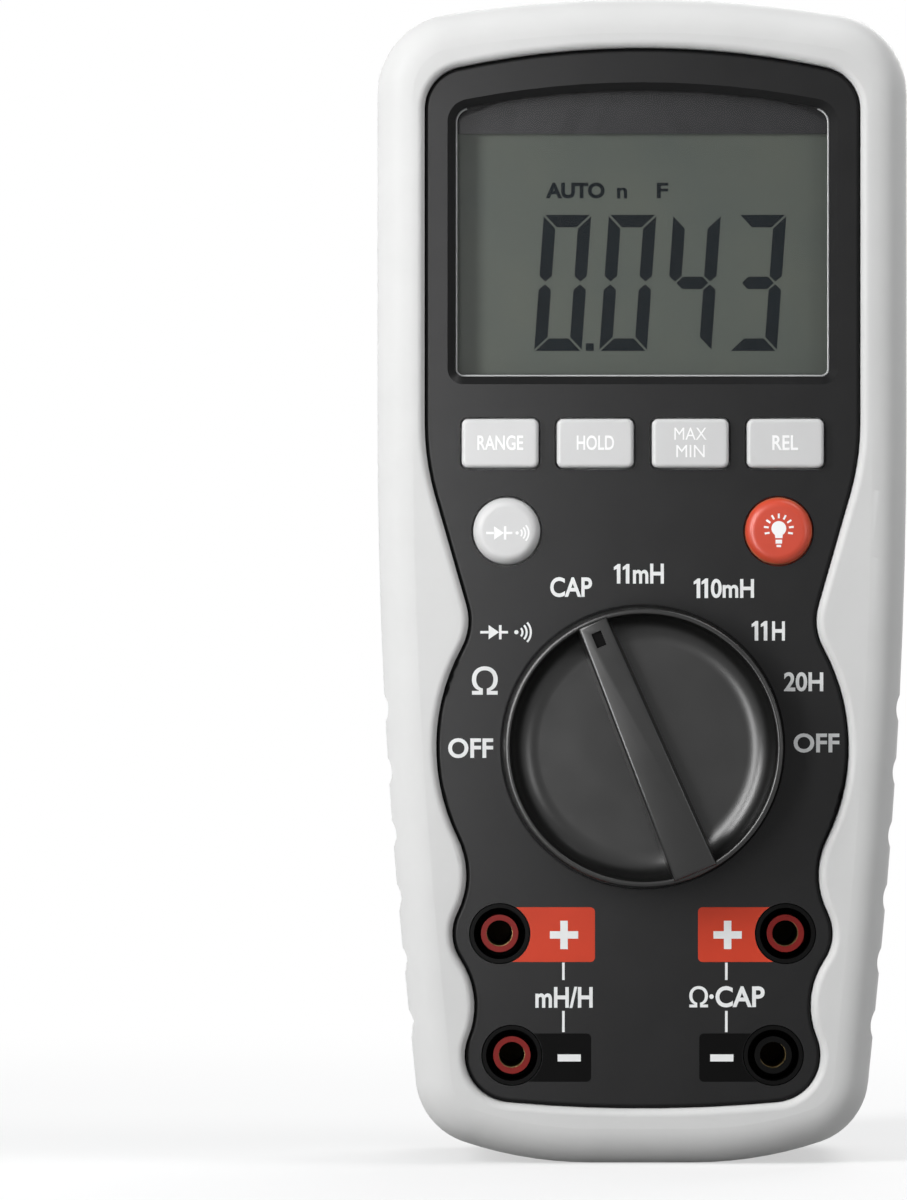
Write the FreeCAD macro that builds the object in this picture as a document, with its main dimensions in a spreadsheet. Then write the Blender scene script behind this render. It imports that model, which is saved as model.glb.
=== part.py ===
"""Handheld component tester, as a parametric document.

The meter stands upright: X runs to the right, Z up, and the front faces -Y. A level is a distance
in front of the plane where the two jacket halves meet, so a piece behind it has a negative level.
"""
import FreeCAD, Part
import math
import os
import re

import Sketcher

SIZES = {
    # Case outline, seen from the front
    "case_height": 181.2,
    "case_width": 82.4,
    "foot_width": 16.0,
    "base_bow": 62.0,
    "base_corner": 11.0,
    "side_taper": 5.6,
    "side_blend": 850.0,
    "taper_start": 115.0,
    "top_corner": 12.5,
    "top_bow": 190.0,
    # Jacket halves
    "rim_level": 20.0,
    "rim_round": 5.6,
    "jacket_wall": 2.4,
    "jacket_lip": 4.6,
    "opening_round": 1.2,
    "fit_gap": 0.15,
    "parting_bevel": 0.35,
    "back_depth": 27.5,
    "rear_round": 4.8,
    "rear_border": 7.4,
    "rear_lip": 4.0,
    "rear_opening_round": 0.8,
    # Grip notches down both sides
    "notch_radius": 4.2,
    "notch_depth": 0.55,
    "notch_pitch": 9.85,
    "notch_top": 70.8,
    # Dark front panel
    "panel_drop": 1.5,
    "panel_skin": 2.2,
    "panel_wall": 2.0,
    "panel_edge_round": 0.6,
    "panel_width": 67.4,
    "panel_top": 173.2,
    "panel_top_bow": 137.0,
    "panel_corner": 6.5,
    "shoulder_start": 115.0,
    "shoulder_bend": 40.0,
    "shoulder_slope": 16.0,
    "shoulder_neck": 9.0,
    "panel_neck": 13.0,
    "knob_field": 31.9,
    "jack_field": 7.2,
    "panel_base_bow": 230.0,
    "flange_thick": 1.6,
    "flange_reach": 2.4,
    # Display
    "window_width": 58.2,
    "window_base": 122.3,
    "window_top": 166.8,
    "window_bow": 143.0,
    "window_top_corner": 2.4,
    "window_base_corner": 1.2,
    "window_bevel": 1.2,
    "window_lap": 0.9,
    "window_thick": 1.5,
    "glass_width": 60.4,
    "glass_height": 42.0,
    "glass_centre": 141.2,
    "glass_gap": 0.6,
    "glass_thick": 1.1,
    "glass_ledge": 2.6,
    "frame_wall": 1.2,
    "frame_gap": 0.2,
    "frame_grip": 1.2,
    "zebra_width": 2.2,
    "zebra_margin": 1.8,
    "backlight_gap": 0.4,
    # Keys
    "key_width": 11.9,
    "key_height": 7.6,
    "key_corner": 1.0,
    "key_edge_round": 0.6,
    "key_pitch": 14.75,
    "key_row": 111.9,
    "round_key": 10.4,
    "round_key_edge": 1.5,
    "round_key_reach": 21.1,
    "round_key_row": 98.3,
    "key_gap": 0.3,
    "key_rise": 1.3,
    "key_travel": 1.0,
    "key_rest": 0.1,
    "key_floor": 0.2,
    "key_flange": 0.8,
    "key_flange_thick": 1.2,
    "stem_radius": 2.0,
    "stem_gap": 0.4,
    "mat_thick": 1.0,
    "mat_margin": 6.0,
    "mat_corner": 3.0,
    "collar_wall": 1.0,
    "collar_height": 2.6,
    # Selector knob and its switch
    "knob_centre": 64.8,
    "knob_rest": 22.5,
    "knob_radius": 21.8,
    "knob_draft": 0.3,
    "knob_gap": 0.35,
    "knob_sink": 1.2,
    "knob_float": 0.2,
    "knob_rise": 8.2,
    "knob_lip": 1.3,
    "knob_lip_round": 0.7,
    "dish_depth": 4.6,
    "dish_round": 8.0,
    "bar_rise": 0.8,
    "bar_reach": 20.9,
    "bar_nose": 5.0,
    "bar_tail": 6.6,
    "bar_draft": 4.0,
    "bar_round": 0.45,
    "mark_width": 1.6,
    "mark_length": 2.4,
    "mark_depth": 0.4,
    "mark_inset": 1.6,
    "hub_radius": 7.0,
    "hub_gap": 0.06,
    "hub_collar": 3.2,
    "hub_play": 0.3,
    "rotor_radius": 17.4,
    "rotor_thick": 5.0,
    "rotor_lift": 1.6,
    "spigot_width": 6.0,
    "spigot_gap": 0.1,
    "spigot_length": 2.8,
    "rotor_screw_seat": 2.0,
    "rotor_screw_head": 3.4,
    "rotor_screw_thick": 1.5,
    "rotor_screw_shank": 1.2,
    "rotor_screw_length": 6.0,
    "screw_gap": 0.05,
    "detent_steps": 16,
    "detent_inner": 19.6,
    "detent_wall": 1.9,
    "detent_notch": 1.7,
    "detent_bite": 0.4,
    "detent_overlap": 0.6,
    "ball_radius": 1.5,
    "ball_clear": 0.2,
    "ball_bore_gap": 0.1,
    "spring_wire": 0.2,
    "spring_coil": 1.15,
    "spring_turns": 6,
    "spring_length": 6.2,
    "wiper_width": 1.6,
    "wiper_thick": 0.3,
    "wiper_reach": 6.0,
    "wiper_orbit": 9.0,
    "wiper_clear": 0.1,
    # Sockets
    "jack_upper_reach": 22.2,
    "jack_upper_row": 35.8,
    "jack_lower_reach": 20.3,
    "jack_lower_row": 16.9,
    "well_radius": 4.6,
    "well_wall": 0.6,
    "well_floor": 1.2,
    "well_recess": 0.15,
    "sleeve_radius": 2.9,
    "sleeve_recess": 0.9,
    "sleeve_mouth": 2.0,
    "contact_bore": 2.0,
    "contact_wall": 0.5,
    "contact_gap": 0.05,
    "contact_recess": 3.0,
    "contact_tail": 7.4,
    "contact_cap": 1.5,
    "contact_collar": 1.1,
    "contact_collar_thick": 1.0,
    # Circuit board
    "board_level": 5.0,
    "board_thick": 1.6,
    "board_gap": 0.8,
    "chip_radius": 8.0,
    "chip_rise": 2.0,
    "chip_height": 142.0,
    "buzzer_radius": 9.0,
    "buzzer_thick": 4.0,
    "buzzer_hole": 1.2,
    "buzzer_reach": 22.0,
    "buzzer_height": 124.0,
    # Rear shell
    "rear_drop": 1.2,
    "rear_skin": 2.2,
    "rear_flange_thick": 1.6,
    "rear_flange_reach": 2.6,
    "rear_wall": 2.0,
    "recess_width": 54.0,
    "recess_height": 85.0,
    "recess_centre": 79.5,
    "recess_corner": 1.0,
    "recess_depth": 4.0,
    "recess_floor": 2.0,
    "recess_wall": 2.6,
    "finger_width": 18.0,
    "finger_drop": 5.0,
    "finger_corner": 4.5,
    "bay_width": 27.2,
    "bay_height": 51.6,
    "bay_centre": 76.6,
    "bay_wall": 1.5,
    "bay_corner": 0.8,
    "bay_top": 2.0,
    "case_screw_reach": 20.0,
    "case_screw_top": 169.0,
    "case_screw_low_reach": 11.0,
    "case_screw_low": 16.0,
    "case_screw_head": 2.3,
    "case_screw_head_thick": 1.8,
    "case_screw_shank": 1.3,
    "case_screw_length": 20.0,
    "case_screw_seat": 9.0,
    "head_gap": 0.2,
    "boss_wall": 1.1,
    "post_radius": 2.4,
    "pilot_depth": 8.5,
    # Tilt stand
    "stand_gap": 0.4,
    "stand_thick": 3.4,
    "stand_clear": 0.4,
    "stand_swing": 0.6,
    "stand_corner": 5.0,
    "stand_edge_round": 0.6,
    "pivot_radius": 1.2,
    "pivot_gap": 0.05,
    "pivot_length": 1.8,
    "foot_strip_width": 30.0,
    "foot_strip_height": 3.2,
    "ridge_pitch": 3.0,
    "ridge_width": 1.2,
    "ridge_depth": 0.6,
    "ridge_length": 22.0,
    "ridge_start": 9.0,
    # Battery and its door
    "door_width": 33.0,
    "door_height": 61.0,
    "door_thick": 1.4,
    "door_gap": 0.2,
    "door_corner": 3.0,
    "door_screw_inset": 2.4,
    "door_screw_head": 1.8,
    "door_screw_head_thick": 0.6,
    "door_screw_shank": 0.9,
    "door_screw_length": 5.0,
    "door_boss": 2.2,
    "door_boss_height": 5.0,
    "battery_width": 26.4,
    "battery_height": 46.6,
    "battery_depth": 17.2,
    "battery_round": 2.0,
    "battery_gap": 0.3,
    "stud_radius": 2.8,
    "stud_height": 2.4,
    "stud_reach": 6.35,
    "snap_thick": 1.5,
    "snap_width": 25.6,
    "snap_depth": 12.6,
    "snap_collar": 1.2,
    "snap_collar_height": 1.8,
}

PANEL_FRONT = "rim_level - panel_drop"
PANEL_BACK = f"{PANEL_FRONT} - panel_skin"
LIP_BACK = "rim_level - jacket_lip"
FLANGE_BACK = f"{LIP_BACK} - flange_thick"
GLASS_FRONT = f"{PANEL_BACK} - window_thick - glass_gap"
GLASS_BACK = f"{GLASS_FRONT} - glass_thick - glass_thick"
BOARD_BACK = "board_level - board_thick"
ROTOR_BACK = "board_level + rotor_lift"
ROTOR_FRONT = f"{ROTOR_BACK} + rotor_thick"
BALL_LEVEL = f"{ROTOR_BACK} + rotor_thick / 2"
BALL_ORBIT = "detent_inner - ball_clear - ball_radius"
KNOB_BASE = f"{PANEL_FRONT} - knob_sink + knob_float"
KNOB_RIM = f"{PANEL_FRONT} + knob_rise"
KNOB_FLOOR = f"{KNOB_RIM} - dish_depth"
KNOB_TOP = f"{KNOB_RIM} + bar_rise"
REAR_LIP_FRONT = "rear_lip - back_depth"
REAR_FACE = "rear_drop - back_depth"
REAR_FLANGE_FRONT = f"{REAR_LIP_FRONT} + rear_flange_thick"
REAR_SKIN_FRONT = f"{REAR_FACE} + rear_skin"
RECESS_FACE = f"{REAR_FACE} + recess_depth"
RECESS_FRONT = f"{RECESS_FACE} + recess_floor"
BAY_FRONT = "0 - bay_top"
STAND_FRONT = f"{RECESS_FACE} - stand_clear"
STAND_BACK = f"{STAND_FRONT} - stand_thick"
PIVOT_LEVEL = f"{STAND_FRONT} - stand_thick / 2"
STAND_TOP = "recess_centre + recess_height / 2 - stand_swing"
STAND_LOW = "recess_centre - recess_height / 2 + stand_gap"
PIVOT_HEIGHT = f"{STAND_TOP} - stand_thick / 2"
DOOR_FRONT = f"{RECESS_FACE} + door_thick"
BATTERY_BACK = f"{DOOR_FRONT} + battery_gap"
BATTERY_LOW = "bay_centre - bay_height / 2 + battery_gap"
SCREW_SEAT = "0 - case_screw_seat"

JACKS = {
    "upper_left": ("0 - jack_upper_reach", "jack_upper_row"),
    "upper_right": ("jack_upper_reach", "jack_upper_row"),
    "lower_left": ("0 - jack_lower_reach", "jack_lower_row"),
    "lower_right": ("jack_lower_reach", "jack_lower_row"),
}
RECTANGULAR_KEYS = {
    "range_key": "0 - 1.5 * key_pitch",
    "hold_key": "0 - key_pitch / 2",
    "peak_key": "key_pitch / 2",
    "relative_key": "1.5 * key_pitch",
}
ROUND_KEYS = {
    "tone_key": "0 - round_key_reach",
    "light_key": "round_key_reach",
}
CASE_SCREWS = [
    ("0 - case_screw_reach", "case_screw_top"),
    ("case_screw_reach", "case_screw_top"),
    ("0 - case_screw_low_reach", "case_screw_low"),
    ("case_screw_low_reach", "case_screw_low"),
]
DOOR_SCREWS = [
    "bay_centre + door_height / 2 - door_screw_inset",
    "bay_centre - door_height / 2 + door_screw_inset",
]
NOTCHES = 6
WIPERS = 3
RIDGES = 4
NEAR = 1e-4

doc = FreeCAD.newDocument("component_tester")
sheet = doc.addObject("Spreadsheet::Sheet", "Sizes")
for row, (alias, value) in enumerate(SIZES.items(), start=1):
    sheet.set(f"A{row}", alias.replace("_", " "))
    sheet.set(f"B{row}", str(value))
    sheet.setAlias(f"B{row}", alias)
doc.recompute()


def size(alias):
    """The number in the sheet's cell of that name."""
    return float(sheet.get(alias))


def amount(formula):
    """The number that a sum of signed sizes comes to, with an optional divisor after a size."""
    total = 0.0
    for sign, alias, divisor in re.findall(r"([+-]?)\s*([a-z]\w*)(?:\s*/\s*(\d+))?", formula):
        share = size(alias) / float(divisor or 1)
        total += -share if sign == "-" else share
    return total


def bind(target, prop, formula):
    """Tie a property to a formula of sizes in the sheet."""
    def cell(word):
        return f"Sizes.{word[0]}" if word[0] in SIZES else word[0]
    target.setExpression(prop, re.sub(r"[a-z]\w*", cell, formula))


def new_body(label, across="0", up="0"):
    """An empty body whose own origin lies at that place of the front view."""
    body = doc.addObject("PartDesign::Body", label)
    body.Label = label
    bind(body, "Placement.Base.x", across)
    bind(body, "Placement.Base.z", up)
    return body


def origin_item(body, role):
    """One of the body's own origin planes or axes."""
    return next(item for item in body.Origin.OriginFeatures if item.Role == role)


def new_sketch(body, level="0", across="0", up="0", role="XZ_Plane"):
    """An empty sketch on the body's front plane, moved forward to the level."""
    sketch = body.newObject("Sketcher::SketchObject", f"{body.Name}_sketch")
    sketch.AttachmentSupport = [(origin_item(body, role), "")]
    sketch.MapMode = "FlatFace"
    bind(sketch, "AttachmentOffset.Base.x", across)
    bind(sketch, "AttachmentOffset.Base.y", up)
    bind(sketch, "AttachmentOffset.Base.z", level)
    return sketch


def constrain(sketch, formula, kind, *points):
    """Add one constraint and, where it has a size, tie that size to a formula."""
    index = sketch.addConstraint(Sketcher.Constraint(kind, *points))
    if formula is not None:
        bind(sketch, f"Constraints[{index}]", formula)
    return index


def pad(sketch, length, draft="0"):
    """Extrude a sketch towards the front."""
    body = sketch.getParentGeoFeatureGroup()
    feature = body.newObject("PartDesign::Pad", f"{body.Name}_pad")
    feature.Profile = sketch
    bind(feature, "Length", length)
    bind(feature, "TaperAngle", draft)
    doc.recompute()
    return feature


def pocket(sketch, depth, forward=False):
    """Cut a sketch towards the back, or towards the front, and make sure that it removes something."""
    body = sketch.getParentGeoFeatureGroup()
    before = body.Shape.Volume
    feature = body.newObject("PartDesign::Pocket", f"{body.Name}_pocket")
    feature.Profile = sketch
    feature.Reversed = forward
    bind(feature, "Length", depth)
    doc.recompute()
    if body.Shape.Volume > before - NEAR:
        raise RuntimeError(f"{feature.Name} cuts nothing")
    return feature


def finish_edges(body, kind, edges, prop, formula):
    """Round or bevel the named edges of the body as it stands."""
    base = body.Tip
    feature = body.newObject(f"PartDesign::{kind}", f"{body.Name}_{kind.lower()}")
    feature.Base = (base, edges)
    bind(feature, prop, formula)
    doc.recompute()
    return feature


def round_edges(body, edges, radius):
    """Fillet the named edges."""
    return finish_edges(body, "Fillet", edges, "Radius", radius)


def bevel_edges(body, edges, width):
    """Chamfer the named edges."""
    return finish_edges(body, "Chamfer", edges, "Size", width)


def level_edges(body, formula, keep=None):
    """Names of the body's edges that lie wholly at a level, where keep accepts them."""
    depth = -amount(formula)
    names = []
    for number, edge in enumerate(body.Tip.Shape.Edges, start=1):
        box = edge.BoundBox
        if abs(box.YMin - depth) < NEAR and abs(box.YMax - depth) < NEAR:
            if keep is None or keep(edge):
                names.append(f"Edge{number}")
    return names


def settle(body, pattern):
    """Make a pattern the body's last feature."""
    body.Tip = pattern
    doc.recompute()
    return pattern


def mirror(body, feature):
    """Repeat a feature on the other side of the body's middle plane."""
    copy = body.newObject("PartDesign::Mirrored", f"{body.Name}_mirrored")
    copy.Originals = [feature]
    copy.MirrorPlane = (origin_item(body, "YZ_Plane"), [""])
    return settle(body, copy)


def circle(sketch, radius):
    """A circle about the sketch's origin."""
    ring = sketch.addGeometry(Part.Circle(FreeCAD.Vector(), FreeCAD.Vector(0, 0, 1), 1.0), False)
    constrain(sketch, None, "Coincident", ring, 3, -1, 1)
    constrain(sketch, radius, "Radius", ring, 1.0)
    return sketch


class Chain:
    """A closed outline of tangent lines and arcs, symmetric about the sketch's upright axis.

    It runs anticlockwise: a first piece that crosses the axis at the bottom, the pieces up the
    right side, a last piece that crosses the axis at the top, and the right side mirrored.
    """

    def __init__(self, sketch):
        self.sketch = sketch
        self.pieces = []

    def line(self, start, end):
        """Add a straight piece."""
        self.pieces.append(("line", start, end))

    def arc(self, centre, radius, start, end):
        """Add an arc from one angle to another, in radians. It bends inwards where end is less."""
        self.pieces.append(("arc", centre, radius, start, end))

    @staticmethod
    def mirrored(piece):
        """The same piece on the left side, run backwards."""
        def flip(point):
            return FreeCAD.Vector(-point.x, point.y)
        if piece[0] == "line":
            return ("line", flip(piece[2]), flip(piece[1]))
        return ("arc", flip(piece[1]), piece[2], math.pi - piece[4], math.pi - piece[3])

    @staticmethod
    def ends(piece):
        """The sketch's point numbers of a piece's first and last ends."""
        return (2, 1) if piece[0] == "arc" and piece[4] < piece[3] else (1, 2)

    def close(self):
        """Draw the outline, with its right side tangent and its left side the mirror of that."""
        right = self.pieces[1:-1]
        pieces = self.pieces + [self.mirrored(piece) for piece in reversed(right)]
        for piece in pieces:
            if piece[0] == "line":
                shape = Part.LineSegment(piece[1], piece[2])
            else:
                ring = Part.Circle(piece[1], FreeCAD.Vector(0, 0, 1), piece[2])
                shape = Part.ArcOfCircle(ring, min(piece[3:]), max(piece[3:]))
            self.sketch.addGeometry(shape, False)
        count = len(pieces)
        top = len(self.pieces) - 1
        first, last = zip(*(self.ends(piece) for piece in pieces))
        constrain(self.sketch, None, "Symmetric", 0, 1, 0, 2, -2)
        constrain(self.sketch, None, "Symmetric", top, 1, top, 2, -2)
        for index in range(top):
            constrain(self.sketch, None, "Tangent", index, last[index], index + 1, first[index + 1])
        for index in range(top, count):
            follower = (index + 1) % count
            constrain(self.sketch, None, "Coincident", index, last[index], follower, first[follower])
        for index in range(1, top):
            twin = count - index
            if index < top - 1:
                constrain(self.sketch, None, "Symmetric", index, last[index], twin, first[twin], -2)
            if pieces[index][0] == "arc":
                constrain(self.sketch, None, "Equal", index, twin)


def polar(angle):
    """The unit vector at an angle in radians."""
    return FreeCAD.Vector(math.cos(angle), math.sin(angle))


def bearing(tail, head):
    """The angle from one point to another."""
    return math.atan2(head.y - tail.y, head.x - tail.x)


def slide_to(start, along, centre, reach, nearer):
    """The point of the line from start that lies at the given reach from the centre."""
    offset = start - centre
    middle = offset.dot(along)
    root = math.sqrt(middle ** 2 - offset.dot(offset) + reach ** 2)
    return start + along * (-middle + (root if nearer else -root))


def case_outline(sketch, inset="0"):
    """The case's outline, drawn in from the outside by the inset."""
    gap = amount(inset)
    half = size("case_width") / 2
    taper = math.radians(size("side_taper"))
    outward = polar(-taper)
    along = FreeCAD.Vector(math.sin(taper), math.cos(taper))
    base = FreeCAD.Vector(size("foot_width") / 2, size("base_bow"))
    side = FreeCAD.Vector(half - size("side_blend"), size("taper_start"))
    crown = FreeCAD.Vector(0, size("case_height") - size("top_bow"))
    low_track = side + outward * (size("side_blend") - size("base_corner"))
    low = slide_to(low_track, along, base, size("base_bow") - size("base_corner"), False)
    run = half - size("top_corner")
    high = FreeCAD.Vector(run, crown.y + math.sqrt((size("top_bow") - size("top_corner")) ** 2 - run ** 2))
    low_angle = bearing(base, low)
    high_angle = bearing(crown, high)

    chain = Chain(sketch)
    foot = FreeCAD.Vector(base.x, gap)
    chain.line(FreeCAD.Vector(-base.x, gap), foot)
    chain.arc(base, size("base_bow") - gap, -math.pi / 2, low_angle)
    chain.arc(low, size("base_corner") - gap, low_angle, -taper)
    chain.line(low + outward * (size("base_corner") - gap), side + outward * (size("side_blend") - gap))
    chain.arc(side, size("side_blend") - gap, -taper, 0)
    chain.line(FreeCAD.Vector(half - gap, side.y), FreeCAD.Vector(half - gap, high.y))
    chain.arc(high, size("top_corner") - gap, 0, high_angle)
    chain.arc(crown, size("top_bow") - gap, high_angle, math.pi - high_angle)
    chain.close()

    constrain(sketch, "foot_width / 2", "DistanceX", -1, 1, 1, 3, base.x)
    constrain(sketch, "base_bow", "DistanceY", -1, 1, 1, 3, base.y)
    constrain(sketch, f"base_bow - ({inset})", "Radius", 1, size("base_bow") - gap)
    constrain(sketch, f"base_corner - ({inset})", "Radius", 2, size("base_corner") - gap)
    constrain(sketch, "(90 - side_taper) * 1 deg", "Angle", 3, math.pi / 2 - taper)
    constrain(sketch, f"side_blend - ({inset})", "Radius", 4, size("side_blend") - gap)
    constrain(sketch, "taper_start", "DistanceY", -1, 1, 4, 3, side.y)
    constrain(sketch, None, "Vertical", 5)
    constrain(sketch, f"case_width / 2 - ({inset})", "DistanceX", -1, 1, 5, 1, half - gap)
    constrain(sketch, f"top_corner - ({inset})", "Radius", 6, size("top_corner") - gap)
    constrain(sketch, f"top_bow - ({inset})", "Radius", 7, size("top_bow") - gap)
    constrain(sketch, "top_bow - case_height", "DistanceY", 7, 3, -1, 1, -crown.y)
    return sketch


def blend_centre(first, first_reach, second, second_reach):
    """The right-hand point at the given reaches from two centres, the second below the first."""
    span = second - first
    run = (first_reach ** 2 - second_reach ** 2 + span.dot(span)) / (2 * span.Length)
    rise = math.sqrt(first_reach ** 2 - run ** 2)
    way = span.normalize()
    return first + way * run + FreeCAD.Vector(-way.y, way.x) * rise


def panel_outline(sketch, grow="0"):
    """The panel's wavy outline: arcs round the display, the knob and the sockets, blended together."""
    more = amount(grow)
    half = size("panel_width") / 2
    slope = math.radians(size("shoulder_slope"))
    outward = polar(-slope)
    along = FreeCAD.Vector(math.sin(slope), math.cos(slope))
    neck = size("panel_neck")
    field = size("jack_field")
    low = FreeCAD.Vector(size("jack_lower_reach"), size("jack_lower_row"))
    high = FreeCAD.Vector(size("jack_upper_reach"), size("jack_upper_row"))
    knob = FreeCAD.Vector(0, size("knob_centre"))
    bow = size("panel_base_bow") - field
    base = FreeCAD.Vector(0, low.y + math.sqrt(bow ** 2 - low.x ** 2))
    low_neck = blend_centre(high, field + neck, low, field + neck)
    high_neck = blend_centre(knob, size("knob_field") + neck, high, field + neck)
    shoulder = FreeCAD.Vector(half - size("shoulder_bend"), size("shoulder_start"))
    track = shoulder + outward * (size("shoulder_bend") + size("shoulder_neck"))
    waist = slide_to(track, along, knob, size("knob_field") + size("shoulder_neck"), True)
    crown = FreeCAD.Vector(0, size("panel_top") - size("panel_top_bow"))
    run = half - size("panel_corner")
    reach = size("panel_top_bow") - size("panel_corner")
    corner = FreeCAD.Vector(run, crown.y + math.sqrt(reach ** 2 - run ** 2))
    base_angle = bearing(base, low)
    corner_angle = bearing(crown, corner)
    turn = math.pi

    chain = Chain(sketch)
    chain.arc(base, size("panel_base_bow") + more, -turn - base_angle, base_angle)
    chain.arc(low, field + more, base_angle, bearing(low, low_neck))
    chain.arc(low_neck, neck - more, bearing(low, low_neck) + turn, bearing(low_neck, high) % (2 * turn))
    chain.arc(high, field + more, bearing(high, low_neck), bearing(high, high_neck))
    chain.arc(high_neck, neck - more, bearing(high, high_neck) + turn, bearing(high_neck, knob))
    chain.arc(knob, size("knob_field") + more, bearing(knob, high_neck), bearing(knob, waist))
    chain.arc(waist, size("shoulder_neck") - more, bearing(knob, waist) + turn, turn - slope)
    chain.line(waist - outward * (size("shoulder_neck") - more),
               shoulder + outward * (size("shoulder_bend") + more))
    chain.arc(shoulder, size("shoulder_bend") + more, -slope, 0)
    chain.line(FreeCAD.Vector(half + more, shoulder.y), FreeCAD.Vector(half + more, corner.y))
    chain.arc(corner, size("panel_corner") + more, 0, corner_angle)
    chain.arc(crown, size("panel_top_bow") + more, corner_angle, turn - corner_angle)
    chain.close()

    constrain(sketch, f"panel_base_bow + ({grow})", "Radius", 0, size("panel_base_bow") + more)
    for index, name, centre in ((1, "jack_lower", low), (3, "jack_upper", high)):
        constrain(sketch, f"{name}_reach", "DistanceX", -1, 1, index, 3, centre.x)
        constrain(sketch, f"{name}_row", "DistanceY", -1, 1, index, 3, centre.y)
        constrain(sketch, f"jack_field + ({grow})", "Radius", index, field + more)
    for index in (2, 4):
        constrain(sketch, f"panel_neck - ({grow})", "Radius", index, neck - more)
    constrain(sketch, None, "PointOnObject", 5, 3, -2)
    constrain(sketch, "knob_centre", "DistanceY", -1, 1, 5, 3, knob.y)
    constrain(sketch, f"knob_field + ({grow})", "Radius", 5, size("knob_field") + more)
    constrain(sketch, f"shoulder_neck - ({grow})", "Radius", 6, size("shoulder_neck") - more)
    constrain(sketch, "(90 - shoulder_slope) * 1 deg", "Angle", 7, math.pi / 2 - slope)
    constrain(sketch, f"shoulder_bend + ({grow})", "Radius", 8, size("shoulder_bend") + more)
    constrain(sketch, "shoulder_start", "DistanceY", -1, 1, 8, 3, shoulder.y)
    constrain(sketch, None, "Vertical", 9)
    constrain(sketch, f"panel_width / 2 + ({grow})", "DistanceX", -1, 1, 9, 1, half + more)
    constrain(sketch, f"panel_corner + ({grow})", "Radius", 10, size("panel_corner") + more)
    constrain(sketch, f"panel_top_bow + ({grow})", "Radius", 11, size("panel_top_bow") + more)
    constrain(sketch, "panel_top - panel_top_bow", "DistanceY", -1, 1, 11, 3, crown.y)
    return sketch


def window_outline(sketch, grow="0"):
    """The display opening: a rectangle with a bowed top and round corners."""
    more = amount(grow)
    half = size("window_width") / 2
    base_round = size("window_base_corner")
    top_round = size("window_top_corner")
    low = FreeCAD.Vector(half - base_round, size("window_base") + base_round)
    crown = FreeCAD.Vector(0, size("window_top") - size("window_bow"))
    run = half - top_round
    high = FreeCAD.Vector(run, crown.y + math.sqrt((size("window_bow") - top_round) ** 2 - run ** 2))
    angle = bearing(crown, high)
    floor = size("window_base") - more

    chain = Chain(sketch)
    chain.line(FreeCAD.Vector(-low.x, floor), FreeCAD.Vector(low.x, floor))
    chain.arc(low, base_round + more, -math.pi / 2, 0)
    chain.line(FreeCAD.Vector(half + more, low.y), FreeCAD.Vector(half + more, high.y))
    chain.arc(high, top_round + more, 0, angle)
    chain.arc(crown, size("window_bow") + more, angle, math.pi - angle)
    chain.close()

    constrain(sketch, f"window_base - ({grow})", "DistanceY", -1, 1, 0, 1, floor)
    constrain(sketch, f"window_base_corner + ({grow})", "Radius", 1, base_round + more)
    constrain(sketch, None, "Vertical", 2)
    constrain(sketch, f"window_width / 2 + ({grow})", "DistanceX", -1, 1, 2, 1, half + more)
    constrain(sketch, f"window_top_corner + ({grow})", "Radius", 3, top_round + more)
    constrain(sketch, f"window_bow + ({grow})", "Radius", 4, size("window_bow") + more)
    constrain(sketch, "window_top - window_bow", "DistanceY", -1, 1, 4, 3, crown.y)
    return sketch


def rounded_rectangle(sketch, width, height, corner):
    """A rectangle about the sketch's origin, with four equal round corners."""
    quarter = math.pi / 2
    reach, rise, bend = 4.0, 3.0, 1.0
    spots = [(reach, -rise), (reach, rise), (-reach, rise), (-reach, -rise)]
    for index, (across, up) in enumerate(spots):
        previous = FreeCAD.Vector(*spots[index - 1])
        centre = FreeCAD.Vector(across, up)
        lead = polar(quarter * (index - 1)) * bend
        sketch.addGeometry(Part.LineSegment(previous + lead, centre + lead), False)
        ring = Part.Circle(centre, FreeCAD.Vector(0, 0, 1), bend)
        sketch.addGeometry(Part.ArcOfCircle(ring, quarter * (index - 1), quarter * index), False)
    for index in range(8):
        constrain(sketch, None, "Tangent", index, 2, (index + 1) % 8, 1)
    for index in (0, 4):
        constrain(sketch, None, "Horizontal", index)
        constrain(sketch, None, "Vertical", index + 2)
    for index in (3, 5, 7):
        constrain(sketch, None, "Equal", 1, index)
    constrain(sketch, None, "Symmetric", 7, 3, 3, 3, -1, 1)
    constrain(sketch, corner, "Radius", 1, bend)
    constrain(sketch, f"{width} - 2 * ({corner})", "DistanceX", 7, 3, 3, 3, 2 * reach)
    constrain(sketch, f"{height} - 2 * ({corner})", "DistanceY", 7, 3, 3, 3, 2 * rise)
    return sketch


def rectangle(sketch, width, height):
    """A plain rectangle about the sketch's origin."""
    spots = [FreeCAD.Vector(*spot) for spot in ((-4, -3), (4, -3), (4, 3), (-4, 3))]
    for index, spot in enumerate(spots):
        sketch.addGeometry(Part.LineSegment(spot, spots[(index + 1) % 4]), False)
    for index in range(4):
        constrain(sketch, None, "Coincident", index, 2, (index + 1) % 4, 1)
    for index in (0, 2):
        constrain(sketch, None, "Horizontal", index)
        constrain(sketch, None, "Vertical", index + 1)
    constrain(sketch, None, "Symmetric", 0, 1, 1, 2, -1, 1)
    constrain(sketch, width, "DistanceX", 0, 1, 0, 2, 8.0)
    constrain(sketch, height, "DistanceY", 1, 1, 1, 2, 6.0)
    return sketch


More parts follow.
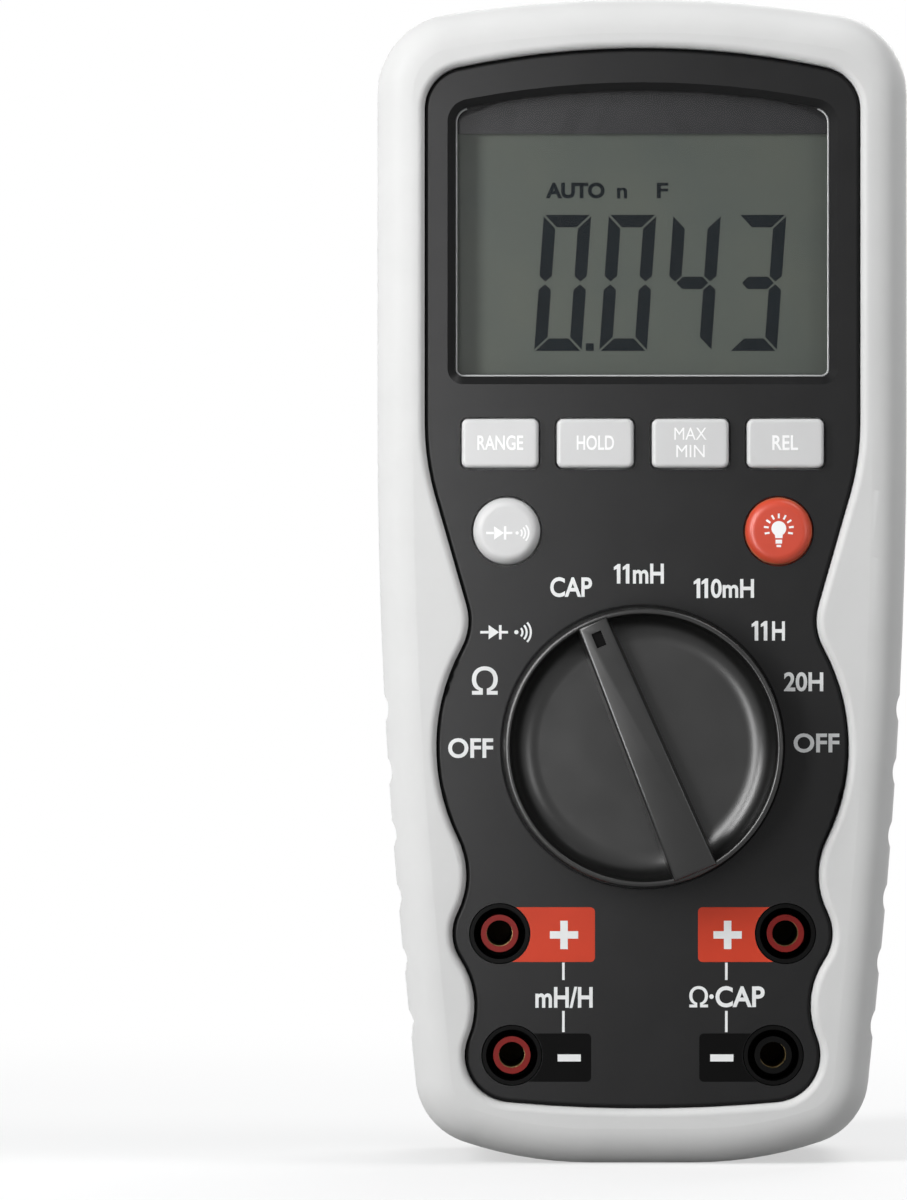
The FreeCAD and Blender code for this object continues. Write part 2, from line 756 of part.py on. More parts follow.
def opening_edges(body, formula):
    """Names of the edges round the openings of the body's flat face at a level."""
    shape = body.Tip.Shape
    depth = -amount(formula)
    names = []
    for face in shape.Faces:
        box = face.BoundBox
        if abs(box.YMin - depth) > NEAR or abs(box.YMax - depth) > NEAR:
            continue
        for wire in face.Wires:
            if not wire.isSame(face.OuterWire):
                for edge in wire.Edges:
                    number = next(n for n, item in enumerate(shape.Edges, start=1) if item.isSame(edge))
                    names.append(f"Edge{number}")
    return names


def grip_notches(body, level, depth):
    """Cut the row of shallow notches into both sides, along the bow of the sides."""
    for side in (1, -1):
        sign = "" if side == 1 else "0 - "
        sketch = new_sketch(body, level, f"{sign}(case_width / 2 - side_blend)", "taper_start")
        turn = FreeCAD.Rotation(FreeCAD.Vector(0, 0, side), 1)
        sketch.AttachmentOffset = FreeCAD.Placement(FreeCAD.Vector(), turn)
        bind(sketch, "AttachmentOffset.Rotation.Angle", "asin((notch_top - taper_start) / side_blend)")
        reach = size("side_blend") + size("notch_radius") - size("notch_depth")
        spot = FreeCAD.Vector(side * reach, 0)
        ring = sketch.addGeometry(Part.Circle(spot, FreeCAD.Vector(0, 0, 1), size("notch_radius")), False)
        constrain(sketch, None, "PointOnObject", ring, 3, -1)
        ends = (-1, 1, ring, 3) if side == 1 else (ring, 3, -1, 1)
        constrain(sketch, "side_blend + notch_radius - notch_depth", "DistanceX", *ends, reach)
        constrain(sketch, "notch_radius", "Radius", ring, size("notch_radius"))
        first = pocket(sketch, depth)
        row = body.newObject("PartDesign::PolarPattern", f"{body.Name}_notches")
        row.Originals = [first]
        row.Axis = (sketch, ["N_Axis"])
        row.Reversed = side == 1
        row.Occurrences = NOTCHES
        bind(row, "Angle", f"{NOTCHES - 1} * notch_pitch / side_blend * 180 / pi")
        settle(body, row)


def front_jacket():
    """Pale front half of the jacket: rounded rim, wavy opening and grip notches."""
    body = new_body("front_jacket")
    pad(case_outline(new_sketch(body)), "rim_level")
    round_edges(body, level_edges(body, "rim_level"), "rim_round")
    bevel_edges(body, level_edges(body, "0"), "parting_bevel")
    pocket(case_outline(new_sketch(body), "jacket_wall"), LIP_BACK, forward=True)
    pocket(panel_outline(new_sketch(body, "rim_level"), "fit_gap"), "jacket_lip")
    round_edges(body, opening_edges(body, "rim_level"), "opening_round")
    grip_notches(body, "rim_level", "rim_level")
    return body


def rear_jacket():
    """Pale rear half of the jacket, with a flat rim to lie on."""
    body = new_body("rear_jacket")
    pad(case_outline(new_sketch(body, "0 - back_depth")), "back_depth")
    round_edges(body, level_edges(body, "0 - back_depth"), "rear_round")
    bevel_edges(body, level_edges(body, "0"), "parting_bevel")
    pocket(case_outline(new_sketch(body), "jacket_wall"), "back_depth - rear_lip")
    pocket(case_outline(new_sketch(body, REAR_LIP_FRONT), "rear_border"), "rear_lip")
    round_edges(body, opening_edges(body, "0 - back_depth"), "rear_opening_round")
    grip_notches(body, "0", "back_depth")
    return body


def front_panel():
    """Dark panel with its openings, knob bearing and screw posts."""
    body = new_body("front_panel")
    pad(panel_outline(new_sketch(body, FLANGE_BACK)), f"{PANEL_FRONT} - ({FLANGE_BACK})")
    round_edges(body, level_edges(body, PANEL_FRONT), "panel_edge_round")
    pad(panel_outline(new_sketch(body, FLANGE_BACK), "flange_reach"), "flange_thick")
    pocket(panel_outline(new_sketch(body, FLANGE_BACK), "0 - panel_wall"),
           f"{PANEL_BACK} - ({FLANGE_BACK})", forward=True)
    pocket(window_outline(new_sketch(body, PANEL_FRONT)), "panel_skin")
    bevel_edges(body, opening_edges(body, PANEL_FRONT), "window_bevel")

    first = new_sketch(body, PANEL_FRONT, "0 - 1.5 * key_pitch", "key_row")
    rounded_rectangle(first, "key_width + 2 * key_gap", "key_height + 2 * key_gap", "key_corner + key_gap")
    opening = pocket(first, "panel_skin")
    row = body.newObject("PartDesign::LinearPattern", "key_openings")
    row.Originals = [opening]
    row.Direction = (first, ["H_Axis"])
    row.Occurrences = len(RECTANGULAR_KEYS)
    bind(row, "Length", "3 * key_pitch")
    settle(body, row)
    round_hole = new_sketch(body, PANEL_FRONT, "round_key_reach", "round_key_row")
    mirror(body, pocket(circle(round_hole, "round_key / 2 + key_gap"), "panel_skin"))

    collar_back = f"{ROTOR_FRONT} + hub_play"
    collar = new_sketch(body, collar_back, up="knob_centre")
    pad(circle(collar, "hub_radius + hub_gap + hub_collar"), f"{PANEL_BACK} - ({collar_back})")
    well = new_sketch(body, PANEL_FRONT, up="knob_centre")
    pocket(circle(well, "knob_radius + knob_gap"), "knob_sink")
    bore = new_sketch(body, PANEL_FRONT, up="knob_centre")
    pocket(circle(bore, "hub_radius + hub_gap"), f"{PANEL_FRONT} - ({collar_back})")

    for row_name in ("jack_upper", "jack_lower"):
        hole = new_sketch(body, PANEL_FRONT, f"{row_name}_reach", f"{row_name}_row")
        mirror(body, pocket(circle(hole, "well_radius + fit_gap"), "panel_skin"))

    for across, up in (CASE_SCREWS[1], CASE_SCREWS[3]):
        root = PANEL_BACK if up == "case_screw_low" else LIP_BACK
        post = new_sketch(body, "board_level", across, up)
        mirror(body, pad(circle(post, "post_radius"), f"{root} - board_level"))
        pilot = new_sketch(body, "board_level", across, up)
        mirror(body, pocket(circle(pilot, "case_screw_shank + screw_gap"), "pilot_depth", forward=True))
    return body


def display_window():
    """Clear window, glued behind the bevelled opening."""
    body = new_body("display_window")
    pad(window_outline(new_sketch(body, f"{PANEL_BACK} - window_thick"), "window_lap"), "window_thick")
    return body


def lcd_glass():
    """Two glass plates, the back one longer at the foot where its contacts are."""
    body = new_body("lcd_glass", up="glass_centre")
    pad(rectangle(new_sketch(body, GLASS_BACK), "glass_width", "glass_height"), "glass_thick")
    front = new_sketch(body, f"{GLASS_BACK} + glass_thick", up="glass_ledge / 2")
    pad(rectangle(front, "glass_width", "glass_height - glass_ledge"), "glass_thick")
    return body


def lcd_frame():
    """Frame that stands on the board and holds the glass by its edges."""
    body = new_body("lcd_frame", up="glass_centre")
    wide = "glass_width + 2 * frame_gap"
    tall = "glass_height + 2 * frame_gap"
    outer = new_sketch(body, "board_level")
    frame_height = f"{GLASS_BACK} + frame_grip - board_level"
    pad(rectangle(outer, f"{wide} + 2 * frame_wall", f"{tall} + 2 * frame_wall"), frame_height)
    pocket(rectangle(new_sketch(body, "board_level"), wide, tall), frame_height, forward=True)
    return body


def backlight_box():
    """White light box between the board and the glass."""
    body = new_body("backlight_box", up="glass_centre")
    strip = "zebra_width + zebra_margin + backlight_gap"
    box = new_sketch(body, "board_level", up=f"({strip}) / 2")
    pad(rectangle(box, "glass_width - 2 * backlight_gap", f"glass_height - ({strip}) - backlight_gap"),
        f"{GLASS_BACK} - board_level")
    return body


def zebra_strip():
    """Striped rubber bar that joins the board to the contacts at the glass's foot."""
    body = new_body("zebra_strip", up="glass_centre")
    bar = new_sketch(body, "board_level", up="zebra_margin / 2 + zebra_width / 2 - glass_height / 2")
    pad(rectangle(bar, "glass_width - 2 * zebra_margin", "zebra_width"), f"{GLASS_BACK} - board_level")
    return body


def key_stem(body):
    """Post under a key that presses its contact on the board."""
    foot = "board_level + key_travel + key_floor"
    top = f"{PANEL_BACK} - key_rest - key_flange_thick"
    pad(circle(new_sketch(body, foot), "stem_radius"), f"{top} - ({foot})")


def rectangular_key(label, across):
    """Rectangular key: a cap, a flange behind the panel and a stem."""
    body = new_body(label, across, "key_row")
    flange = new_sketch(body, f"{PANEL_BACK} - key_rest - key_flange_thick")
    rounded_rectangle(flange, "key_width + 2 * key_flange", "key_height + 2 * key_flange",
                      "key_corner + key_flange")
    pad(flange, "key_flange_thick")
    cap = new_sketch(body, f"{PANEL_BACK} - key_rest")
    rounded_rectangle(cap, "key_width", "key_height", "key_corner")
    pad(cap, "panel_skin + key_rest + key_rise")
    round_edges(body, level_edges(body, f"{PANEL_FRONT} + key_rise"), "key_edge_round")
    key_stem(body)
    return body


def round_key(label, across):
    """Round key with a softly domed cap."""
    body = new_body(label, across, "round_key_row")
    flange = new_sketch(body, f"{PANEL_BACK} - key_rest - key_flange_thick")
    pad(circle(flange, "round_key / 2 + key_flange"), "key_flange_thick")
    cap = new_sketch(body, f"{PANEL_BACK} - key_rest")
    pad(circle(cap, "round_key / 2"), "panel_skin + key_rest + key_rise")
    round_edges(body, level_edges(body, f"{PANEL_FRONT} + key_rise"), "round_key_edge")
    key_stem(body)
    return body


def keypad_mat():
    """Rubber mat on the board, with a raised collar round each stem."""
    body = new_body("keypad_mat")
    middle = "key_row / 2 + round_key_row / 2"
    sheet_sketch = new_sketch(body, "board_level", up=middle)
    rounded_rectangle(sheet_sketch, "3 * key_pitch + 2 * mat_margin",
                      "key_row - round_key_row + 2 * mat_margin", "mat_corner")
    pad(sheet_sketch, "mat_thick")
    for across, up in (("key_pitch / 2", "key_row"), ("1.5 * key_pitch", "key_row"),
                       ("round_key_reach", "round_key_row")):
        height = "mat_thick + collar_height"
        collar = new_sketch(body, "board_level", across, up)
        mirror(body, pad(circle(collar, "stem_radius + stem_gap + collar_wall"), height))
        hole = new_sketch(body, "board_level", across, up)
        mirror(body, pocket(circle(hole, "stem_radius + stem_gap"), height, forward=True))
    return body


def turn_with_knob(body):
    """Set a body at the knob's axis, turned to the position that the knob rests in."""
    body.Placement = FreeCAD.Placement(FreeCAD.Vector(), FreeCAD.Rotation(FreeCAD.Vector(0, -1, 0), 1))
    bind(body, "Placement.Base.z", "knob_centre")
    bind(body, "Placement.Rotation.Angle", "knob_rest")
    return body


def revolve(sketch):
    """Turn a half section round the body's front-to-back axis."""
    body = sketch.getParentGeoFeatureGroup()
    feature = body.newObject("PartDesign::Revolution", f"{body.Name}_turned")
    feature.Profile = sketch
    feature.ReferenceAxis = (sketch, ["V_Axis"])
    feature.Angle = 360
    doc.recompute()
    return feature


def knob_section(sketch):
    """Half section of the knob: skirt, rounded lip and a dish that sweeps down to a flat floor."""
    base, rim, floor = -amount(KNOB_BASE), -amount(KNOB_RIM), -amount(KNOB_FLOOR)
    outer = size("knob_radius")
    crest = outer - size("knob_draft") - size("knob_lip_round")
    inner = outer - size("knob_draft") - size("knob_lip")
    bend = size("dish_round")
    run = math.sqrt(bend ** 2 - (bend - size("dish_depth")) ** 2)
    lip = size("knob_lip_round")
    spots = [(0, base), (outer, base), (crest + lip, rim + lip), (crest, rim), (inner, rim),
             (inner - run, floor), (0, floor)]
    corner = [FreeCAD.Vector(*spot) for spot in spots]
    dish = FreeCAD.Vector(inner - run, floor - bend)
    lip_ring = Part.Circle(FreeCAD.Vector(crest, rim + lip), FreeCAD.Vector(0, 0, 1), lip)
    dish_ring = Part.Circle(dish, FreeCAD.Vector(0, 0, 1), bend)
    for shape in (
            Part.LineSegment(corner[0], corner[1]),
            Part.LineSegment(corner[1], corner[2]),
            Part.ArcOfCircle(lip_ring, -math.pi / 2, 0),
            Part.LineSegment(corner[3], corner[4]),
            Part.ArcOfCircle(dish_ring, bearing(dish, corner[4]), math.pi / 2),
            Part.LineSegment(corner[5], corner[6]),
            Part.LineSegment(corner[6], corner[0])):
        sketch.addGeometry(shape, False)
    constrain(sketch, None, "Coincident", 0, 2, 1, 1)
    constrain(sketch, None, "Coincident", 1, 2, 2, 2)
    constrain(sketch, None, "Tangent", 2, 1, 3, 1)
    constrain(sketch, None, "Coincident", 3, 2, 4, 1)
    constrain(sketch, None, "Tangent", 4, 2, 5, 1)
    constrain(sketch, None, "Coincident", 5, 2, 6, 1)
    constrain(sketch, None, "Coincident", 6, 2, 0, 1)
    for index in (0, 3, 5):
        constrain(sketch, None, "Horizontal", index)
    constrain(sketch, None, "PointOnObject", 0, 1, -2)
    constrain(sketch, None, "PointOnObject", 6, 1, -2)
    constrain(sketch, None, "Horizontal", 2, 2, 2, 3)
    constrain(sketch, KNOB_BASE, "DistanceY", 0, 1, -1, 1, -base)
    constrain(sketch, KNOB_RIM, "DistanceY", 3, 1, -1, 1, -rim)
    constrain(sketch, KNOB_FLOOR, "DistanceY", 5, 1, -1, 1, -floor)
    constrain(sketch, "knob_radius", "DistanceX", -1, 1, 0, 2, outer)
    constrain(sketch, "knob_lip_round", "Radius", 2, lip)
    constrain(sketch, "knob_radius - knob_draft", "DistanceX", -1, 1, 1, 2, crest + lip)
    constrain(sketch, "knob_radius - knob_draft - knob_lip", "DistanceX", -1, 1, 3, 2, inner)
    constrain(sketch, "dish_round", "Radius", 4, bend)
    return sketch


def pointer_bar(sketch):
    """Plan of the knob's bar: narrower at the nose, with ends that follow the rim."""
    reach = size("bar_reach")
    spots = []
    for name, up in (("bar_tail", -1), ("bar_nose", 1)):
        half = size(name) / 2
        spots.append(FreeCAD.Vector(half, up * math.sqrt(reach ** 2 - half ** 2)))
    tail, nose = spots
    origin = FreeCAD.Vector()
    ring = Part.Circle(origin, FreeCAD.Vector(0, 0, 1), reach)
    low = bearing(origin, tail)
    high = bearing(origin, nose)
    sketch.addGeometry(Part.ArcOfCircle(ring, math.pi - low, 2 * math.pi + low), False)
    sketch.addGeometry(Part.LineSegment(tail, nose), False)
    sketch.addGeometry(Part.ArcOfCircle(ring, high, math.pi - high), False)
    back = (FreeCAD.Vector(-nose.x, nose.y), FreeCAD.Vector(-tail.x, tail.y))
    sketch.addGeometry(Part.LineSegment(*back), False)
    for index in range(4):
        constrain(sketch, None, "Coincident", index, 2, (index + 1) % 4, 1)
    for index in (0, 2):
        constrain(sketch, None, "Coincident", index, 3, -1, 1)
        constrain(sketch, None, "Symmetric", index, 1, index, 2, -2)
    constrain(sketch, None, "Equal", 0, 2)
    constrain(sketch, "bar_reach", "Radius", 0, reach)
    constrain(sketch, "bar_tail", "DistanceX", 0, 1, 0, 2, size("bar_tail"))
    constrain(sketch, "bar_nose", "DistanceX", 2, 2, 2, 1, size("bar_nose"))
    return sketch


def selector_knob():
    """Dished knob with its pointer bar, hub and square spigot."""
    body = turn_with_knob(new_body("selector_knob"))
    revolve(knob_section(new_sketch(body, role="XY_Plane")))
    bar_depth = "dish_depth + bar_rise"
    pad(pointer_bar(new_sketch(body, KNOB_FLOOR)), bar_depth, "bar_draft * -1")
    round_edges(body, level_edges(body, KNOB_TOP), "bar_round")
    mark = new_sketch(body, KNOB_TOP, up="bar_reach - mark_inset - mark_length / 2")
    pocket(rectangle(mark, "mark_width", "mark_length"), "mark_depth")
    hub = new_sketch(body, ROTOR_FRONT)
    pad(circle(hub, "hub_radius"), f"{KNOB_BASE} - ({ROTOR_FRONT})")
    spigot = new_sketch(body, f"{ROTOR_FRONT} - spigot_length")
    pad(rectangle(spigot, "spigot_width", "spigot_width"), "spigot_length")
    pilot = new_sketch(body, f"{ROTOR_FRONT} - spigot_length")
    pocket(circle(pilot, "rotor_screw_shank + screw_gap"), "rotor_screw_length + screw_gap", forward=True)
    return body


def switch_rotor():
    """Moulded disc on the knob's spigot, with a bore on each side for a detent ball and its spring."""
    body = turn_with_knob(new_body("switch_rotor"))
    pad(circle(new_sketch(body, ROTOR_BACK), "rotor_radius"), "rotor_thick")
    square = "spigot_width + 2 * spigot_gap"
    pocket(rectangle(new_sketch(body, ROTOR_BACK), square, square), "rotor_thick", forward=True)
    sink = new_sketch(body, ROTOR_BACK)
    pocket(circle(sink, "rotor_screw_head + head_gap"), "rotor_screw_seat", forward=True)
    bore = new_sketch(body, "rotor_radius", "0 - (" + BALL_LEVEL + ")", role="YZ_Plane")
    depth = "rotor_radius - (" + BALL_ORBIT + ") + ball_radius + spring_length"
    mirror(body, pocket(circle(bore, "ball_radius + ball_bore_gap"), depth))
    return body


def rotor_screw():
    """Pan-head screw that clamps the rotor to the knob."""
    body = turn_with_knob(new_body("rotor_screw"))
    seat = f"{ROTOR_BACK} + rotor_screw_seat"
    pad(circle(new_sketch(body, f"{seat} - rotor_screw_thick"), "rotor_screw_head"), "rotor_screw_thick")
    pad(circle(new_sketch(body, seat), "rotor_screw_shank"), "rotor_screw_length")
    return body


def detent_ring():
    """Ring behind the panel, with a notch on its inside for each switch position."""
    body = new_body("detent_ring", up="knob_centre")
    back = f"{BALL_LEVEL} - ball_radius - detent_overlap"
    height = f"{PANEL_BACK} - ({back})"
    pad(circle(new_sketch(body, back), "detent_inner + detent_wall"), height)
    pocket(circle(new_sketch(body, back), "detent_inner"), height, forward=True)
    notch = new_sketch(body, back, "detent_inner + detent_bite - detent_notch")
    cut = pocket(circle(notch, "detent_notch"), height, forward=True)
    row = body.newObject("PartDesign::PolarPattern", "detent_notches")
    row.Originals = [cut]
    row.Axis = (origin_item(body, "Y_Axis"), [""])
    row.Angle = 360
    bind(row, "Occurrences", "detent_steps")
    settle(body, row)
    return body


def group(label, members):
    """Several separate solids that share one node."""
    compound = doc.addObject("Part::Compound", label)
    compound.Label = label
    compound.Links = members
    doc.recompute()
    return compound


def detent_balls():
    """Two steel balls that the springs press into the ring's notches."""
    balls = []
    for side in ("", "0 - "):
        ball = doc.addObject("Part::Sphere", "detent_ball")
        bind(ball, "Radius", "ball_radius")
        bind(ball, "Placement.Base.x", f"{side}({BALL_ORBIT}) * cos(knob_rest)")
        bind(ball, "Placement.Base.y", f"0 - ({BALL_LEVEL})")
        bind(ball, "Placement.Base.z", f"knob_centre + {side}({BALL_ORBIT}) * sin(knob_rest)")
        balls.append(ball)
    return group("detent_balls", balls)


def detent_springs():
    """A coil spring behind each ball."""
    springs = []
    start = f"({BALL_ORBIT} - ball_radius - spring_length)"
    for side, turn in (("", "90 - knob_rest"), ("0 - ", "0 - 90 - knob_rest")):
        spine = doc.addObject("Part::Helix", "spring_line")
        bind(spine, "Radius", "spring_coil")
        bind(spine, "Height", "spring_length - 2 * spring_wire")
        bind(spine, "Pitch", "(spring_length - 2 * spring_wire) / spring_turns")
        wire = doc.addObject("Part::Circle", "spring_wire")
        bind(wire, "Radius", "spring_wire")
        wire.Placement = FreeCAD.Placement(FreeCAD.Vector(), FreeCAD.Rotation(FreeCAD.Vector(1, 0, 0), 90))
        bind(wire, "Placement.Base.x", "spring_coil")
        coil = doc.addObject("Part::Sweep", "detent_spring")
        coil.Sections = [wire]
        coil.Spine = (spine, [])
        coil.Solid = True
        coil.Frenet = True
        coil.Placement = FreeCAD.Placement(FreeCAD.Vector(), FreeCAD.Rotation(FreeCAD.Vector(0, 1, 0), 1))
        bind(coil, "Placement.Rotation.Angle", turn)
        bind(coil, "Placement.Base.x", f"{side}({start} + spring_wire) * cos(knob_rest)")
        bind(coil, "Placement.Base.y", f"0 - ({BALL_LEVEL})")
        bind(coil, "Placement.Base.z", f"knob_centre + {side}({start} + spring_wire) * sin(knob_rest)")
        springs.append(coil)
    return group("detent_springs", springs)


def wiper_contacts():
    """Bent leaf contacts under the rotor that wipe the board's tracks."""
    wipers = []
    for index in range(WIPERS):
        body = turn_with_knob(new_body("wiper_contact"))
        bind(body, "Placement.Rotation.Angle", f"knob_rest + {360 * index // WIPERS + 30}")
        foot = new_sketch(body, f"{ROTOR_BACK} - wiper_thick", "wiper_orbit")
        pad(rectangle(foot, "wiper_reach", "wiper_width"), "wiper_thick")
        leg = new_sketch(body, "board_level + wiper_clear", "wiper_orbit + wiper_reach / 2 - wiper_thick / 2")
        pad(rectangle(leg, "wiper_thick", "wiper_width"), "rotor_lift - wiper_clear")
        wipers.append(body)
    return group("wiper_contacts", wipers)


def jack_well(place, across, up):
    """Black moulded well that stands on the board and shows through the panel."""
    body = new_body(f"jack_well_{place}", across, up)
    height = f"{PANEL_FRONT} - well_recess - board_level"
    pad(circle(new_sketch(body, "board_level"), "well_radius"), height)
    inside = new_sketch(body, "board_level + well_floor")
    pocket(circle(inside, "well_radius - well_wall"), height, forward=True)
    hole = "contact_bore + contact_wall + 2 * contact_gap"
    pocket(circle(new_sketch(body, "board_level"), hole), "well_floor", forward=True)
    return body


def jack_sleeve(place, across, up):
    """Coloured sleeve in the middle of a well, narrow at its mouth and wider round the contact."""
    body = new_body(f"jack_sleeve_{place}", across, up)
    base = "board_level + well_floor"
    height = f"{PANEL_FRONT} - sleeve_recess - ({base})"
    pad(circle(new_sketch(body, base), "sleeve_radius"), height)
    pocket(circle(new_sketch(body, base), "contact_bore + contact_gap"), height, forward=True)
    wide = "contact_bore + contact_wall + contact_gap"
    pocket(circle(new_sketch(body, base), wide), f"{PANEL_FRONT} - sleeve_mouth - sleeve_recess - ({base})",
           forward=True)
    return body


def jack_contact(place, across, up):
    """Turned brass tube, blind at the back, with a soldering collar behind the board."""
    body = new_body(f"jack_contact_{place}", across, up)
    tail = f"{BOARD_BACK} - contact_tail"
    length = f"{PANEL_FRONT} - contact_recess - ({tail})"
    pad(circle(new_sketch(body, tail), "contact_bore + contact_wall"), length)
    collar = new_sketch(body, f"{BOARD_BACK} - contact_collar_thick")
    pad(circle(collar, "contact_bore + contact_wall + contact_collar"), "contact_collar_thick")
    pocket(circle(new_sketch(body, f"{tail} + contact_cap"), "contact_bore"), length, forward=True)
    return body


def main_board():
    """Circuit board that fills the case, held between the front posts and the rear bosses."""
    body = new_body("main_board")
    pad(case_outline(new_sketch(body, BOARD_BACK), "jacket_wall + board_gap"), "board_thick")
    for across, up in (CASE_SCREWS[1], CASE_SCREWS[3]):
        hole = new_sketch(body, "board_level", across, up)
        mirror(body, pocket(circle(hole, "case_screw_shank + head_gap"), "board_thick"))
    for row_name in ("jack_upper", "jack_lower"):
        hole = new_sketch(body, "board_level", f"{row_name}_reach", f"{row_name}_row")
        mirror(body, pocket(circle(hole, "contact_bore + contact_wall + contact_gap"), "board_thick"))
    return body


def measuring_chip():
    """Epoxy dome over the chip that is bonded to the back of the board."""
    body = new_body("measuring_chip", up="chip_height")
    pad(circle(new_sketch(body, f"{BOARD_BACK} - chip_rise"), "chip_radius"), "chip_rise")
    round_edges(body, level_edges(body, f"{BOARD_BACK} - chip_rise"), "chip_rise - fit_gap")
    return body


def buzzer():
    """Round sounder on the back of the board."""
    body = new_body("buzzer", "buzzer_reach", "buzzer_height")
    back = f"{BOARD_BACK} - buzzer_thick"
    pad(circle(new_sketch(body, back), "buzzer_radius"), "buzzer_thick")
    pocket(circle(new_sketch(body, back), "buzzer_hole"), "buzzer_thick / 2", forward=True)
    return body


def rear_case():
    """Dark rear shell: stand recess, battery bay, door rebate and screw bosses."""
    body = new_body("rear_case")
    plate = new_sketch(body, REAR_FACE)
    pad(case_outline(plate, "rear_border + fit_gap"), f"{REAR_FLANGE_FRONT} - ({REAR_FACE})")
    flange = new_sketch(body, REAR_LIP_FRONT)
    pad(case_outline(flange, "rear_border - rear_flange_reach"), "rear_flange_thick")
    inside = new_sketch(body, REAR_FLANGE_FRONT)
    pocket(case_outline(inside, "rear_border + rear_wall"), f"{REAR_FLANGE_FRONT} - ({REAR_SKIN_FRONT})")

    tray = new_sketch(body, REAR_SKIN_FRONT, up="recess_centre")
    rounded_rectangle(tray, "recess_width + 2 * recess_wall", "recess_height + 2 * recess_wall",
                      "recess_corner + recess_wall")
    pad(tray, f"{RECESS_FRONT} - ({REAR_SKIN_FRONT})")
    tub = new_sketch(body, REAR_SKIN_FRONT, up="recess_centre - recess_height / 2")
    rounded_rectangle(tub, "finger_width + 2 * recess_wall", "2 * finger_drop + 2 * recess_wall",
                      "finger_corner + recess_wall")
    pad(tub, f"{RECESS_FRONT} - ({REAR_SKIN_FRONT})")
    walls = new_sketch(body, RECESS_FACE, up="bay_centre")
    rounded_rectangle(walls, "bay_width + 2 * bay_wall", "bay_height + 2 * bay_wall", "bay_corner + bay_wall")
    pad(walls, f"{BAY_FRONT} - ({RECESS_FACE})")
    for up in DOOR_SCREWS:
        pad(circle(new_sketch(body, RECESS_FACE, up=up), "door_boss"), "recess_floor + door_boss_height")
    for across, up in (CASE_SCREWS[1], CASE_SCREWS[3]):
        boss = circle(new_sketch(body, REAR_FACE, across, up), "case_screw_head + head_gap + boss_wall")
        mirror(body, pad(boss, f"{BOARD_BACK} - ({REAR_FACE})"))

    recess = new_sketch(body, REAR_FACE, up="recess_centre")
    rounded_rectangle(recess, "recess_width", "recess_height", "recess_corner")
    pocket(recess, "recess_depth", forward=True)
    finger = new_sketch(body, REAR_FACE, up="recess_centre - recess_height / 2")
    rounded_rectangle(finger, "finger_width", "2 * finger_drop", "finger_corner")
    pocket(finger, "recess_depth", forward=True)
    door = new_sketch(body, RECESS_FACE, up="bay_centre")
    rounded_rectangle(door, "door_width + 2 * door_gap", "door_height + 2 * door_gap",
                      "door_corner + door_gap")
    pocket(door, "door_thick", forward=True)
    bay = new_sketch(body, RECESS_FACE, up="bay_centre")
    rounded_rectangle(bay, "bay_width", "bay_height", "bay_corner")
    pocket(bay, f"{BAY_FRONT} - ({RECESS_FACE})", forward=True)
    for up in DOOR_SCREWS:
        pocket(circle(new_sketch(body, RECESS_FACE, up=up), "door_screw_shank + screw_gap"),
               "door_thick + door_screw_length", forward=True)
    for across, up in (CASE_SCREWS[1], CASE_SCREWS[3]):
        sink = circle(new_sketch(body, REAR_FACE, across, up), "case_screw_head + head_gap")
        mirror(body, pocket(sink, f"{SCREW_SEAT} - ({REAR_FACE})", forward=True))
        hole = circle(new_sketch(body, SCREW_SEAT, across, up), "case_screw_shank + head_gap")
        mirror(body, pocket(hole, f"{BOARD_BACK} - ({SCREW_SEAT})", forward=True))
    pivot_end = "recess_width / 2 + pivot_length"
    pivot = new_sketch(body, pivot_end, f"0 - ({PIVOT_LEVEL})", PIVOT_HEIGHT, "YZ_Plane")
    mirror(body, pocket(circle(pivot, "pivot_radius + pivot_gap"), "pivot_length + recess_corner"))
    return body


def stand_profile(sketch, length):
    """Side view of the stand below its pivot: a flat strip with a half-round top end."""
    half = size("stand_thick") / 2
    reach = 10.0
    spots = [FreeCAD.Vector(*spot) for spot in ((-half, 0), (-half, -reach), (half, -reach), (half, 0))]
    for start, end in zip(spots, spots[1:]):
        sketch.addGeometry(Part.LineSegment(start, end), False)
    ring = Part.Circle(FreeCAD.Vector(), FreeCAD.Vector(0, 0, 1), half)
    sketch.addGeometry(Part.ArcOfCircle(ring, 0, math.pi), False)
    constrain(sketch, None, "Coincident", 3, 3, -1, 1)
    constrain(sketch, None, "Coincident", 0, 2, 1, 1)
    constrain(sketch, None, "Coincident", 1, 2, 2, 1)
    constrain(sketch, None, "Tangent", 2, 2, 3, 1)
    constrain(sketch, None, "Tangent", 3, 2, 0, 1)
    constrain(sketch, None, "Vertical", 0)
    constrain(sketch, None, "Horizontal", 1)
    constrain(sketch, None, "Vertical", 2)
    constrain(sketch, "stand_thick / 2", "Radius", 3, half)
    constrain(sketch, length, "DistanceY", 1, 1, -1, 1, reach)
    return sketch


